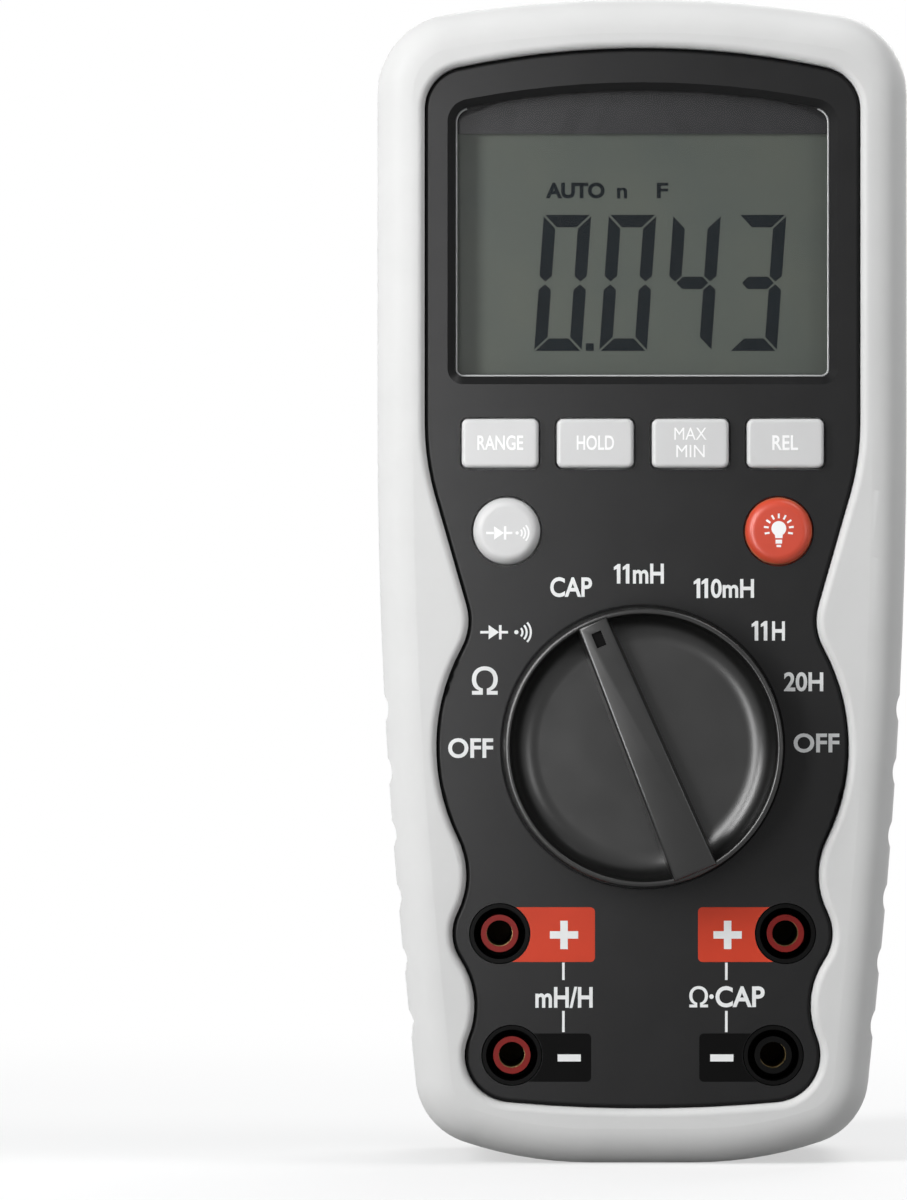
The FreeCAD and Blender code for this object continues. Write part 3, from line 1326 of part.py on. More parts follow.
def tilt_stand():
    """Folding stand with two pivots, a half-round top end and a ridged grip at its free end."""
    body = new_body("tilt_stand")
    edge = "recess_width / 2 - stand_gap"
    pivot_depth = f"0 - ({PIVOT_LEVEL})"
    side = new_sketch(body, f"0 - ({edge})", pivot_depth, PIVOT_HEIGHT, "YZ_Plane")
    pad(stand_profile(side, f"{PIVOT_HEIGHT} - ({STAND_LOW})"), f"2 * ({edge})")
    low = size("recess_centre") - size("recess_height") / 2 + size("stand_gap")
    corners = []
    for number, item in enumerate(body.Tip.Shape.Edges, start=1):
        box = item.BoundBox
        if abs(box.ZMax - low) < NEAR and box.YLength > NEAR:
            corners.append(f"Edge{number}")
    round_edges(body, corners, "stand_corner")
    free_end = level_edges(body, STAND_BACK, lambda item: item.BoundBox.ZMin < low + NEAR)
    round_edges(body, free_end, "stand_edge_round")
    notch = new_sketch(body, STAND_BACK, up=STAND_LOW)
    pocket(rectangle(notch, "foot_strip_width", "2 * foot_strip_height"), "stand_thick", forward=True)
    ridge = new_sketch(body, STAND_BACK, up=f"{STAND_LOW} + ridge_start")
    groove = pocket(rectangle(ridge, "ridge_length", "ridge_width"), "ridge_depth", forward=True)
    row = body.newObject("PartDesign::LinearPattern", "stand_ridges")
    row.Originals = [groove]
    row.Direction = (ridge, ["V_Axis"])
    row.Occurrences = RIDGES
    bind(row, "Length", f"{RIDGES - 1} * ridge_pitch")
    settle(body, row)
    pivot = new_sketch(body, edge, pivot_depth, PIVOT_HEIGHT, "YZ_Plane")
    mirror(body, pad(circle(pivot, "pivot_radius"), "stand_gap + pivot_length - head_gap"))
    return body


def stand_foot():
    """Rubber strip set into the free end of the stand."""
    body = new_body("stand_foot")
    strip = new_sketch(body, STAND_BACK, up=f"{STAND_LOW} + foot_strip_height / 2")
    pad(rectangle(strip, "foot_strip_width", "foot_strip_height"), "stand_thick")
    return body


def battery_door():
    """Flat door in the recess floor, with two sunk screw holes."""
    body = new_body("battery_door")
    plate = new_sketch(body, RECESS_FACE, up="bay_centre")
    pad(rounded_rectangle(plate, "door_width", "door_height", "door_corner"), "door_thick")
    for up in DOOR_SCREWS:
        sink = new_sketch(body, RECESS_FACE, up=up)
        pocket(circle(sink, "door_screw_head + head_gap"), "door_screw_head_thick", forward=True)
        hole = new_sketch(body, RECESS_FACE, up=up)
        pocket(circle(hole, "door_screw_shank + head_gap"), "door_thick", forward=True)
    return body


def screw(label, across, up, seat, head, head_thick, shank, length):
    """A plain screw that goes in from behind: a flat head under its seat and a shank in front of it."""
    body = new_body(label, across, up)
    pad(circle(new_sketch(body, f"{seat} - {head_thick}"), head), head_thick)
    pad(circle(new_sketch(body, seat), shank), length)
    return body


def door_screws():
    """The two screws of the battery door."""
    seat = f"{RECESS_FACE} + door_screw_head_thick"
    return group("door_screws", [
        screw("door_screw", "0", up, seat, "door_screw_head", "door_screw_head_thick", "door_screw_shank",
              "door_screw_length")
        for up in DOOR_SCREWS])


def case_screws():
    """The four long screws that draw the rear shell to the front panel."""
    return group("case_screws", [
        screw("case_screw", across, up, SCREW_SEAT, "case_screw_head", "case_screw_head_thick",
              "case_screw_shank", "case_screw_length")
        for across, up in CASE_SCREWS])


def battery():
    """Nine-volt block with its two studs on top."""
    body = new_body("battery", up=BATTERY_LOW)
    middle = f"0 - ({BATTERY_BACK} + battery_depth / 2)"
    block = new_sketch(body, up=middle, role="XY_Plane")
    pad(rounded_rectangle(block, "battery_width", "battery_depth", "battery_round"), "battery_height")
    stud = new_sketch(body, "battery_height", "stud_reach", middle, "XY_Plane")
    mirror(body, pad(circle(stud, "stud_radius"), "stud_height"))
    return body


def battery_snap():
    """Contact plate that clips over the battery's studs."""
    body = new_body("battery_snap", up=f"{BATTERY_LOW} + battery_height + stud_height")
    middle = f"0 - ({BATTERY_BACK} + battery_depth / 2)"
    plate = new_sketch(body, up=middle, role="XY_Plane")
    pad(rectangle(plate, "snap_width", "snap_depth"), "snap_thick")
    collar = new_sketch(body, "0 - snap_collar_height", "stud_reach", middle, "XY_Plane")
    mirror(body, pad(circle(collar, "stud_radius + head_gap + snap_collar"), "snap_collar_height"))
    hole = new_sketch(body, "0", "stud_reach", middle, "XY_Plane")
    mirror(body, pocket(circle(hole, "stud_radius + head_gap"), "snap_collar_height"))
    return body


def build():
    """Make every sub-part of the meter."""
    parts = [front_jacket(), front_panel(), rear_jacket(), rear_case(), display_window()]
    parts += [lcd_glass(), lcd_frame(), backlight_box(), zebra_strip(), keypad_mat()]
    parts += [rectangular_key(label, across) for label, across in RECTANGULAR_KEYS.items()]
    parts += [round_key(label, across) for label, across in ROUND_KEYS.items()]
    parts += [selector_knob(), switch_rotor(), rotor_screw(), detent_ring()]
    parts += [detent_balls(), detent_springs(), wiper_contacts()]
    for place, (across, up) in JACKS.items():
        parts += [maker(place, across, up) for maker in (jack_well, jack_sleeve, jack_contact)]
    parts += [main_board(), measuring_chip(), buzzer(), tilt_stand(), stand_foot()]
    parts += [battery_door(), door_screws(), case_screws(), battery(), battery_snap()]
    return parts


subparts = build()
doc.recompute()
for item in doc.Objects:
    if "Invalid" in item.State or "Error" in item.State:
        raise RuntimeError(f"{item.Name} failed: {item.State}")
for part in subparts:
    if part.Shape.isNull() or not part.Shape.isValid():
        raise RuntimeError(f"{part.Label} has no valid shape")

os.makedirs("parts", exist_ok=True)
for part in subparts:
    part.Shape.exportStep(f"parts/{part.Label}.step")
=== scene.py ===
"""Looks of a handheld component tester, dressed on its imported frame.

Places are given in millimetres of the front view, X to the right and Z up, and a level is a distance
in front of the plane where the two jacket halves meet.
"""
import math

import bmesh
import bpy
from mathutils import Matrix, Vector


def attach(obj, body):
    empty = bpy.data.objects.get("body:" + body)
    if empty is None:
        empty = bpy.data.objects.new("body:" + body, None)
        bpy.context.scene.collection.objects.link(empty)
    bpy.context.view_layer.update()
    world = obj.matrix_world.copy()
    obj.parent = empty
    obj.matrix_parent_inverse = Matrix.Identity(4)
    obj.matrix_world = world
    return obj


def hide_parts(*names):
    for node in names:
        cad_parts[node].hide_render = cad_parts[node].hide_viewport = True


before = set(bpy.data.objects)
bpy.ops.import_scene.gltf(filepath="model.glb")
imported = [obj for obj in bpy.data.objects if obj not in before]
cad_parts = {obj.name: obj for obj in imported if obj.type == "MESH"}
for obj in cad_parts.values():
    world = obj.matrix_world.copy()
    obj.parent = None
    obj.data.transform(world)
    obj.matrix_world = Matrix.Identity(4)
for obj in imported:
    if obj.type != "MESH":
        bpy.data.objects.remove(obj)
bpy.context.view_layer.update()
scene = bpy.context.scene
MM = 0.001

# Levels of the faces that carry print and trim, and the thickness of the ink
PANEL_LEVEL = 18.5
KEY_LEVEL = 19.8
WINDOW_FRONT = 16.3
WINDOW_BACK = 14.8
GLASS_LEVEL = 14.2
DOOR_LEVEL = -22.3
SCREW_LEVEL = -10.8
INK = 0.03

# Pitches of the slow drift of colour and sheen in a moulding
COLOUR_DRIFT = 9.0
SHEEN_DRIFT = 6.0


def point(across, up, level):
    """A place of the front view as a vector in the frame."""
    return Vector((across, -level, up)) * MM


# Finishes

def finish(name, colour, roughness, **sockets):
    """A new material with its plain values set on the shader."""
    material = bpy.data.materials.new(name)
    material.use_nodes = True
    shader = material.node_tree.nodes["Principled BSDF"]
    shader.inputs["Base Color"].default_value = (*colour, 1.0)
    shader.inputs["Roughness"].default_value = roughness
    for socket, value in sockets.items():
        shader.inputs[socket.replace("_", " ")].default_value = value
    return material


def noise(material, pitch, detail):
    """Noise in object space whose lumps lie about a pitch apart, in millimetres."""
    nodes = material.node_tree.nodes
    place = nodes.new("ShaderNodeTexCoord")
    texture = nodes.new("ShaderNodeTexNoise")
    texture.inputs["Scale"].default_value = 1.0 / (pitch * MM)
    texture.inputs["Detail"].default_value = detail
    material.node_tree.links.new(place.outputs["Object"], texture.inputs["Vector"])
    return texture.outputs["Fac"]


def grain(material, pitch, depth):
    """A moulded texture as bump, with its pitch and depth in millimetres."""
    nodes = material.node_tree.nodes
    bump = nodes.new("ShaderNodeBump")
    bump.inputs["Strength"].default_value = 1.0
    bump.inputs["Distance"].default_value = depth * MM
    links = material.node_tree.links
    links.new(noise(material, pitch, 3.0), bump.inputs["Height"])
    links.new(bump.outputs["Normal"], nodes["Principled BSDF"].inputs["Normal"])
    return material


def mottle(material, low, high, pitch):
    """Let the colour drift softly between two shades."""
    nodes = material.node_tree.nodes
    ramp = nodes.new("ShaderNodeValToRGB")
    ramp.color_ramp.elements[0].position = 0.3
    ramp.color_ramp.elements[1].position = 0.7
    ramp.color_ramp.elements[0].color = (*low, 1.0)
    ramp.color_ramp.elements[1].color = (*high, 1.0)
    links = material.node_tree.links
    links.new(noise(material, pitch, 4.0), ramp.inputs["Fac"])
    links.new(ramp.outputs["Color"], nodes["Principled BSDF"].inputs["Base Color"])


def rub(material, low, high, pitch):
    """Let the roughness drift, as handling polishes some places more than others."""
    nodes = material.node_tree.nodes
    span = nodes.new("ShaderNodeMapRange")
    span.inputs["To Min"].default_value = low
    span.inputs["To Max"].default_value = high
    links = material.node_tree.links
    links.new(noise(material, pitch, 5.0), span.inputs["Value"])
    links.new(span.outputs["Result"], nodes["Principled BSDF"].inputs["Roughness"])


def moulded(name, shade, spread, roughness, pitch, depth, **sockets):
    """Moulded plastic or rubber: drifting colour, fine grain and uneven sheen."""
    low = tuple(value * (1 - spread) for value in shade)
    high = tuple(min(1.0, value * (1 + spread)) for value in shade)
    material = finish(name, shade, roughness, **sockets)
    mottle(material, low, high, COLOUR_DRIFT)
    rub(material, roughness - 0.05, roughness + 0.06, SHEEN_DRIFT)
    return grain(material, pitch, depth)


jacket = moulded("jacket_satin", (0.64, 0.64, 0.635), 0.02, 0.48, 0.35, 0.006,
                 Specular_IOR_Level=0.20)
panel = moulded("panel_charcoal", (0.005, 0.005, 0.0053), 0.12, 0.42, 0.22, 0.012,
                Specular_IOR_Level=0.17)
rear_shell = moulded("rear_charcoal", (0.020, 0.020, 0.021), 0.10, 0.55, 0.30, 0.020,
                     Specular_IOR_Level=0.30)
knob_black = moulded("knob_black", (0.005, 0.005, 0.0048), 0.08, 0.30, 0.20, 0.002,
                     Specular_IOR_Level=0.42)
grey_silicone = moulded("grey_silicone", (0.575, 0.575, 0.575), 0.02, 0.50, 0.25, 0.005)
red_silicone = moulded("red_silicone", (0.58, 0.052, 0.022), 0.05, 0.42, 0.25, 0.005, Coat_Weight=0.25,
                       Coat_Roughness=0.24, Sheen_Weight=0.5, Sheen_Tint=(1.0, 0.50, 0.25, 1.0),
                       Specular_IOR_Level=0.25)
inner_silicone = moulded("inner_silicone", (0.30, 0.30, 0.31), 0.04, 0.60, 0.25, 0.005)
black_moulding = moulded("black_moulding", (0.008, 0.008, 0.008), 0.10, 0.42, 0.25, 0.004)
white_moulding = moulded("white_moulding", (0.80, 0.80, 0.78), 0.02, 0.45, 0.30, 0.004)
red_moulding = moulded("red_moulding", (0.20, 0.012, 0.010), 0.06, 0.45, 0.25, 0.003,
                       Specular_IOR_Level=0.10)
foot_rubber = moulded("foot_rubber", (0.016, 0.016, 0.016), 0.12, 0.75, 0.40, 0.030,
                      Specular_IOR_Level=0.20)
laminate = moulded("board_laminate", (0.030, 0.170, 0.075), 0.18, 0.40, 0.60, 0.010)
battery_wrap = moulded("battery_wrap", (0.050, 0.060, 0.080), 0.06, 0.30, 0.80, 0.006)
white_ink = moulded("white_ink", (0.78, 0.79, 0.79), 0.04, 0.60, 0.12, 0.004)
key_ink = moulded("key_ink", (0.92, 0.92, 0.92), 0.02, 0.55, 0.12, 0.003)
red_ink = moulded("red_ink", (0.58, 0.050, 0.020), 0.05, 0.50, 0.15, 0.004, Specular_IOR_Level=0.12)
black_ink = moulded("black_ink", (0.003, 0.003, 0.003), 0.10, 0.55, 0.15, 0.003,
                    Specular_IOR_Level=0.03)
socket_black = moulded("socket_black", (0.003, 0.003, 0.003), 0.10, 0.50, 0.25, 0.003,
                       Specular_IOR_Level=0.04)
mask_ink = moulded("mask_ink", (0.022, 0.022, 0.024), 0.08, 0.45, 0.60, 0.0008,
                   Specular_IOR_Level=0.20)
segment_ink = moulded("segment_ink", (0.006, 0.011, 0.015), 0.15, 0.50, 0.30, 0.001,
                      Specular_IOR_Level=0.04)


def metal(name, shade, roughness, pitch):
    """Plated or turned metal with fine scratches."""
    material = finish(name, shade, roughness, Metallic=1.0)
    mottle(material, tuple(value * 0.92 for value in shade), shade, 1.5)
    rub(material, roughness - 0.06, roughness + 0.08, 0.8)
    return grain(material, pitch, 0.003)


plated_steel = metal("plated_steel", (0.62, 0.61, 0.60), 0.30, 0.10)
turned_brass = metal("turned_brass", (0.74, 0.55, 0.26), 0.28, 0.12)


def paint_bore_shade(material, front, back, bright, painted_shade):
    """Paint shade into metal from one level to another, darker deeper in a narrow bore."""
    nodes, links = material.node_tree.nodes, material.node_tree.links
    place = nodes.new("ShaderNodeTexCoord")
    parts = nodes.new("ShaderNodeSeparateXYZ")
    span = nodes.new("ShaderNodeMapRange")
    span.inputs["From Min"].default_value = -front * MM
    span.inputs["From Max"].default_value = -back * MM
    ramp = nodes.new("ShaderNodeValToRGB")
    ramp.color_ramp.elements[0].color = (*bright, 1.0)
    ramp.color_ramp.elements[1].color = (*painted_shade, 1.0)
    links.new(place.outputs["Object"], parts.inputs["Vector"])
    links.new(parts.outputs["Y"], span.inputs["Value"])
    links.new(span.outputs["Result"], ramp.inputs["Fac"])
    links.new(ramp.outputs["Color"], nodes["Principled BSDF"].inputs["Base Color"])


# Painted shade: the contacts' colour runs from brass near the socket mouth to near black deep in the bore
BORE_BRASS, BORE_PAINTED_SHADE = (0.30, 0.22, 0.10), (0.004, 0.003, 0.002)
contact_brass = finish("contact_brass", BORE_BRASS, 0.35, Metallic=1.0)
rub(contact_brass, 0.28, 0.42, 0.8)
grain(contact_brass, 0.12, 0.003)
paint_bore_shade(contact_brass, 15.0, 4.0, BORE_BRASS, BORE_PAINTED_SHADE)

display = finish("display_grey", (0.145, 0.165, 0.143), 0.40, Specular_IOR_Level=0.12)
mottle(display, (0.135, 0.155, 0.138), (0.155, 0.172, 0.146), 14.0)
rub(display, 0.34, 0.44, 4.0)
grain(display, 0.3, 0.001)

# The window edge bead's pale colour is a painted highlight of light catching that edge
painted_edge_highlight = moulded("painted_edge_highlight", (0.42, 0.43, 0.43), 0.05, 0.25, 0.50, 0.002)
clear_acrylic = finish("clear_acrylic", (0.02, 0.02, 0.02), 0.06, Alpha=0.14, IOR=1.49)
rub(clear_acrylic, 0.04, 0.09, 8.0)

NODE_FINISH = {
    "front_jacket": jacket, "rear_jacket": jacket, "front_panel": panel, "rear_case": rear_shell,
    "tilt_stand": rear_shell, "battery_door": rear_shell, "stand_foot": foot_rubber,
    "display_window": clear_acrylic, "lcd_glass": display, "lcd_frame": white_moulding,
    "backlight_box": white_moulding, "zebra_strip": inner_silicone, "keypad_mat": inner_silicone,
    "selector_knob": knob_black, "switch_rotor": white_moulding, "detent_ring": white_moulding,
    "rotor_screw": plated_steel, "detent_balls": plated_steel, "detent_springs": plated_steel,
    "door_screws": plated_steel, "case_screws": plated_steel, "wiper_contacts": turned_brass,
    "main_board": laminate, "measuring_chip": black_moulding, "buzzer": black_moulding,
    "battery": battery_wrap, "battery_snap": black_moulding, "light_key": red_silicone,
}
for key in ("range_key", "hold_key", "peak_key", "relative_key", "tone_key"):
    NODE_FINISH[key] = grey_silicone
for place in ("upper_left", "upper_right", "lower_left", "lower_right"):
    NODE_FINISH[f"jack_well_{place}"] = socket_black
    NODE_FINISH[f"jack_sleeve_{place}"] = socket_black if place == "lower_right" else red_moulding
    NODE_FINISH[f"jack_contact_{place}"] = contact_brass
for name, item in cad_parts.items():
    item.data.materials.clear()
    item.data.materials.append(NODE_FINISH[name])


# Printing

def to_mesh(name, shape):
    """A mesh from a closed shape, with its faces outwards."""
    bmesh.ops.recalc_face_normals(shape, faces=shape.faces)
    mesh = bpy.data.meshes.new(name)
    shape.to_mesh(mesh)
    shape.free()
    return mesh


def settle(name, mesh, material, body):
    """Make a piece of a finished mesh and let it ride on a body."""
    mesh.materials.clear()
    mesh.materials.append(material)
    piece = bpy.data.objects.new(name, mesh)
    scene.collection.objects.link(piece)
    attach(piece, body)
    return piece


class Print:
    """Flat shapes of one ink, gathered on a level and then given the ink's thickness."""

    def __init__(self, level, inward=False):
        self.shape = bmesh.new()
        self.level = level
        self.way = 1 if inward else -1

    def outline(self, spots):
        """Fill one closed outline."""
        self.shape.faces.new([self.shape.verts.new(point(*spot, self.level)) for spot in spots])

    def bar(self, low, high):
        """Fill a rectangle between two corners."""
        self.outline([low, (high[0], low[1]), high, (low[0], high[1])])

    def stroke(self, spots, width):
        """Fill a band of even width along a path."""
        left, right = [], []
        for index, spot in enumerate(spots):
            here = Vector(spot)
            ahead = Vector(spots[min(index + 1, len(spots) - 1)])
            behind = Vector(spots[max(index - 1, 0)])
            along = (ahead - behind).normalized() * width / 2
            left.append((here.x - along.y, here.y + along.x))
            right.append((here.x + along.y, here.y - along.x))
        for index in range(len(spots) - 1):
            self.outline([right[index], right[index + 1], left[index + 1], left[index]])

    def words(self, text, centre, height, width, weight):
        """Fill a line of words to a height and a width, with some weight added to the strokes."""
        curve = bpy.data.curves.new("words", "FONT")
        curve.body = text
        curve.resolution_u = 5
        curve.offset = weight
        holder = bpy.data.objects.new("words", curve)
        scene.collection.objects.link(holder)
        bpy.context.view_layer.update()
        mesh = bpy.data.meshes.new_from_object(holder.evaluated_get(bpy.context.evaluated_depsgraph_get()))
        left, right = (pick(v.co.x for v in mesh.vertices) for pick in (min, max))
        foot, top = (pick(v.co.y for v in mesh.vertices) for pick in (min, max))
        spots = []
        for vertex in mesh.vertices:
            across = (vertex.co.x - (left + right) / 2) * width / (right - left)
            up = (vertex.co.y - (foot + top) / 2) * height / (top - foot)
            spots.append(self.shape.verts.new(point(centre[0] + across, centre[1] + up, self.level)))
        for polygon in mesh.polygons:
            self.shape.faces.new([spots[index] for index in polygon.vertices])
        bpy.data.objects.remove(holder)
        bpy.data.curves.remove(curve)
        bpy.data.meshes.remove(mesh)

    def one(self, right, low, height):
        """Fill a figure one with a flag, by the right side of its stem."""
        top = low + height
        stem = right - 0.56
        flag = right - 1.02
        self.outline([(stem, low), (right, low), (right, top), (right - 0.40, top),
                      (flag, top - 0.50), (flag, top - 0.95), (stem, top - 0.75)])

    def done(self, name, material, body):
        """Give the shapes their thickness and make the piece."""
        bmesh.ops.remove_doubles(self.shape, verts=self.shape.verts, dist=1e-7)
        sheet = list(self.shape.faces)
        raised = bmesh.ops.extrude_face_region(self.shape, geom=sheet)["geom"]
        lift = Vector((0, self.way * INK * MM, 0))
        lifted = [item for item in raised if isinstance(item, bmesh.types.BMVert)]
        bmesh.ops.translate(self.shape, verts=lifted, vec=lift)
        settle(name, to_mesh(name, self.shape), material, body)


def ring(centre, radius, start, end, steps):
    """Points along an arc, with its angles in degrees."""
    turns = [math.radians(start + (end - start) * step / steps) for step in range(steps + 1)]
    return [(centre[0] + radius * math.cos(turn), centre[1] + radius * math.sin(turn)) for turn in turns]


def diode(ink, left, middle, scale):
    """A diode sign: a lead, an arrowhead, a bar and a lead."""
    ink.bar((left, middle - 0.2 * scale), (left + 1.4 * scale, middle + 0.2 * scale))
    ink.outline([(left + 1.3 * scale, middle - 1.1 * scale), (left + 2.9 * scale, middle),
                 (left + 1.3 * scale, middle + 1.1 * scale)])
    ink.bar((left + 2.9 * scale, middle - 1.1 * scale), (left + 3.3 * scale, middle + 1.1 * scale))
    ink.bar((left + 3.3 * scale, middle - 0.2 * scale), (left + 4.3 * scale, middle + 0.2 * scale))


def sounder(ink, left, middle, scale):
    """A sound sign: a dot and widening arcs."""
    ink.outline(ring((left, middle), 0.33 * scale, 0, 337.5, 15))
    for radius in (0.95, 1.6, 2.25):
        ink.stroke(ring((left, middle), radius * scale, -42, 42, 10), 0.32 * scale)


# Weight added to the strokes of each kind of print, as a share of the letter size
LEGEND_WEIGHT = 0.024
SIGN_WEIGHT = 0.010
KEY_WEIGHT = 0.016
AUTO_WEIGHT = 0.045
UNIT_WEIGHT = 0.026
FIGURE_HEIGHT = 3.05
legends = Print(PANEL_LEVEL)
for text, centre, height, width in (
        ("OFF", (-26.7, 64.6), 3.1, 7.0),
        ("CAP", (-11.1, 89.6), 3.1, 6.5),
        ("mH", (0.9, 91.7), 3.1, 4.8),
        ("0mH", (13.95, 89.4), 3.0, 6.7),
        ("H", (21.1, 82.8), 3.0, 2.0),
        ("20H", (25.0, 74.9), 3.0, 6.1),
        ("OFF", (27.0, 65.4), 3.0, 7.1),
        ("mH/H", (-12.2, 25.9), 3.3, 8.9),
        ("·CAP", (14.65, 26.0), 3.3, 8.6)):
    legends.words(text, centre, height, width, LEGEND_WEIGHT)
legends.words("Ω", (-24.5, 75.1), 4.4, 4.0, SIGN_WEIGHT)
legends.words("Ω", (8.7, 26.0), 3.3, 2.9, SIGN_WEIGHT)
for low, stems in ((90.15, (-3.44, -2.05)), (87.9, (8.95, 10.17)), (81.3, (17.95, 19.37))):
    for right in stems:
        legends.one(right, low, FIGURE_HEIGHT)
TONE_ROW = 82.6
diode(legends, -25.2, TONE_ROW, 1.0)
sounder(legends, -19.6, TONE_ROW, 1.0)
HALF_LINE = 0.2
for across in (-12.3, 13.0):
    for low, high in ((28.6, 31.3), (20.5, 23.8)):
        legends.bar((across - HALF_LINE, low), (across + HALF_LINE, high))
legends.done("panel_legends", white_ink, "case")


def socket_block(ink, jack, inner, low, high):
    """A printed block that runs from beside a socket to its inner end, with two round corners there."""
    side = 1 if inner > jack[0] else -1
    clear, corner, steps = 4.8, 0.7, 14
    heights = [high - step * (high - low) / steps for step in range(steps + 1)]
    rise = [(jack[0] + side * math.sqrt(clear ** 2 - (up - jack[1]) ** 2), up)
            for up in heights if abs(up - jack[1]) < clear]
    ends = []
    for up, start, end in ((low, -90, 0), (high, 0, 90)):
        bend = (inner - side * corner, up + corner if up == low else up - corner)
        for across, height in ring((0, 0), corner, start, end, 5):
            ends.append((bend[0] + side * across, bend[1] + height))
    ink.outline(rise + ends)


JACK_SPOTS = {"upper_left": (-22.2, 35.8), "upper_right": (22.2, 35.8),
              "lower_left": (-20.3, 16.9), "lower_right": (20.3, 16.9)}
PLUS_LOW, PLUS_HIGH = 31.4, 39.9
MINUS_LOW, MINUS_HIGH = 12.8, 20.3
plus_blocks = Print(PANEL_LEVEL)
socket_block(plus_blocks, JACK_SPOTS["upper_left"], -7.4, PLUS_LOW, PLUS_HIGH)
socket_block(plus_blocks, JACK_SPOTS["upper_right"], 8.6, PLUS_LOW, PLUS_HIGH)
plus_blocks.done("plus_blocks", red_ink, "case")
minus_blocks = Print(PANEL_LEVEL)
socket_block(minus_blocks, JACK_SPOTS["lower_left"], -8.0, MINUS_LOW, MINUS_HIGH)
socket_block(minus_blocks, JACK_SPOTS["lower_right"], 8.8, MINUS_LOW, MINUS_HIGH)
minus_blocks.done("minus_blocks", black_ink, "case")

signs = Print(PANEL_LEVEL + INK)
ARM, HALF_ARM = 2.2, 0.58
PLUS_ROW, MINUS_ROW, MINUS_HALF = 35.6, 16.5, (1.8, 0.55)
for across in (-12.2, 13.2):
    quarter = [(HALF_ARM, -ARM), (HALF_ARM, -HALF_ARM), (ARM, -HALF_ARM)]
    plus = []
    for _ in range(4):
        plus += quarter
        quarter = [(-z, x) for x, z in quarter]
    signs.outline([(across + x, PLUS_ROW + z) for x, z in plus])
for across in (-11.4, 12.3):
    signs.bar((across - MINUS_HALF[0], MINUS_ROW - MINUS_HALF[1]),
              (across + MINUS_HALF[0], MINUS_ROW + MINUS_HALF[1]))
signs.done("socket_signs", white_ink, "case")

for key, lines in {
        "range_key": [("RANGE", (-22.1, 112.0), 2.3, 7.1)],
        "hold_key": [("HOLD", (-7.35, 112.0), 2.3, 5.8)],
        "peak_key": [("MAX", (7.4, 113.4), 1.9, 5.0), ("MIN", (7.4, 110.7), 1.9, 4.4)],
        "relative_key": [("REL", (22.1, 112.0), 2.3, 4.0)]}.items():
    words = Print(KEY_LEVEL)
    for line in lines:
        words.words(*line, 0.0 if "M" in line[0] else KEY_WEIGHT)
    words.done(f"{key}_words", key_ink, f"{key}_body")

tone = Print(KEY_LEVEL)
ROUND_KEY_ROW = 98.0
diode(tone, -24.3, ROUND_KEY_ROW, 0.95)
sounder(tone, -19.5, ROUND_KEY_ROW, 0.8)
tone.done("tone_key_sign", key_ink, "tone_key_body")

BULB_CENTRE = (21.1, 98.7)
NECK_HALF, NECK_FOOT = 0.55, 97.2
bulb = Print(KEY_LEVEL)
bulb.outline(ring(BULB_CENTRE, 1.15, -58, 238, 28)
             + [(BULB_CENTRE[0] - NECK_HALF, NECK_FOOT), (BULB_CENTRE[0] + NECK_HALF, NECK_FOOT)])
for half, low, high in ((0.50, 96.35, 96.95), (0.35, 95.8, 96.15)):
    bulb.bar((BULB_CENTRE[0] - half, low), (BULB_CENTRE[0] + half, high))
bulb.done("light_key_bulb", key_ink, "light_key_body")


# Display

def digit(ink, left, foot, name):
    """One slanted digit of seven segments."""
    width, height, thick, gap, slant = 7.4, 21.2, 1.95, 0.22, 1.5
    middle = height / 2
    tip = 0.55 * thick
    nose = 0.62 * thick
    near, far = thick + gap, width - thick - gap
    upper = [(0, height - gap), (thick, height - near), (thick, middle + tip), (thick / 2, middle + gap),
             (0, middle + tip)]
    top = [(gap, height), (width - gap, height), (far, height - thick), (near, height - thick)]
    core = [(nose, middle), (near, middle + thick / 2), (far, middle + thick / 2),
            (width - nose, middle), (far, middle - thick / 2), (near, middle - thick / 2)]
    shapes = {
        "top": top, "core": core, "foot": [(x, height - z) for x, z in top],
        "upper_left": upper, "lower_left": [(x, height - z) for x, z in upper],
        "upper_right": [(width - x, z) for x, z in upper],
        "lower_right": [(width - x, height - z) for x, z in upper],
    }
    lit = {
        "0": ("top", "foot", "upper_left", "lower_left", "upper_right", "lower_right"),
        "3": ("top", "core", "foot", "upper_right", "lower_right"),
        "4": ("core", "upper_left", "upper_right", "lower_right"),
    }
    for shape in lit[name]:
        ink.outline([(left + x + slant * z / height, foot + z) for x, z in shapes[shape]])


DIGIT_FOOT, UNIT_ROW = 126.4, 151.4
reading = Print(GLASS_LEVEL)
for name, left in (("0", -16.8), ("0", -6.65), ("4", 3.4), ("3", 13.6)):
    digit(reading, left, DIGIT_FOOT, name)
reading.bar((-8.75, DIGIT_FOOT), (-7.5, DIGIT_FOOT + 1.2))
reading.words("AUTO", (-10.4, UNIT_ROW), 2.5, 9.2, AUTO_WEIGHT)
reading.words("n", (-3.1, UNIT_ROW - 0.4), 1.7, 1.6, UNIT_WEIGHT)
reading.words("F", (3.2, UNIT_ROW), 2.4, 1.8, UNIT_WEIGHT)
reading.done("display_reading", segment_ink, "case")

MASK_HALF, MASK_FOOT, MASK_TOP, MASK_BOW = 29.8, 160.2, 167.6, 143.0
MASK_TURN = math.degrees(math.asin(MASK_HALF / MASK_BOW))
mask = Print(WINDOW_BACK, inward=True)
mask.outline([(-MASK_HALF, MASK_FOOT), (MASK_HALF, MASK_FOOT)]
             + ring((0, MASK_TOP - MASK_BOW), MASK_BOW, 90 - MASK_TURN, 90 + MASK_TURN, 24))
mask.done("window_mask", mask_ink, "case")


# Knob

KNOB_CENTRE = 64.8
KNOB_TURN = math.radians(22.5)
KNOB_BASE, KNOB_FLOOR, KNOB_RIM, KNOB_TOP = 17.5, 22.1, 26.7, 27.5
HUB_END, SPIGOT_END = 11.6, 8.8
MARK_START, MARK_END, MARK_DEPTH = 16.9, 19.3, 0.4


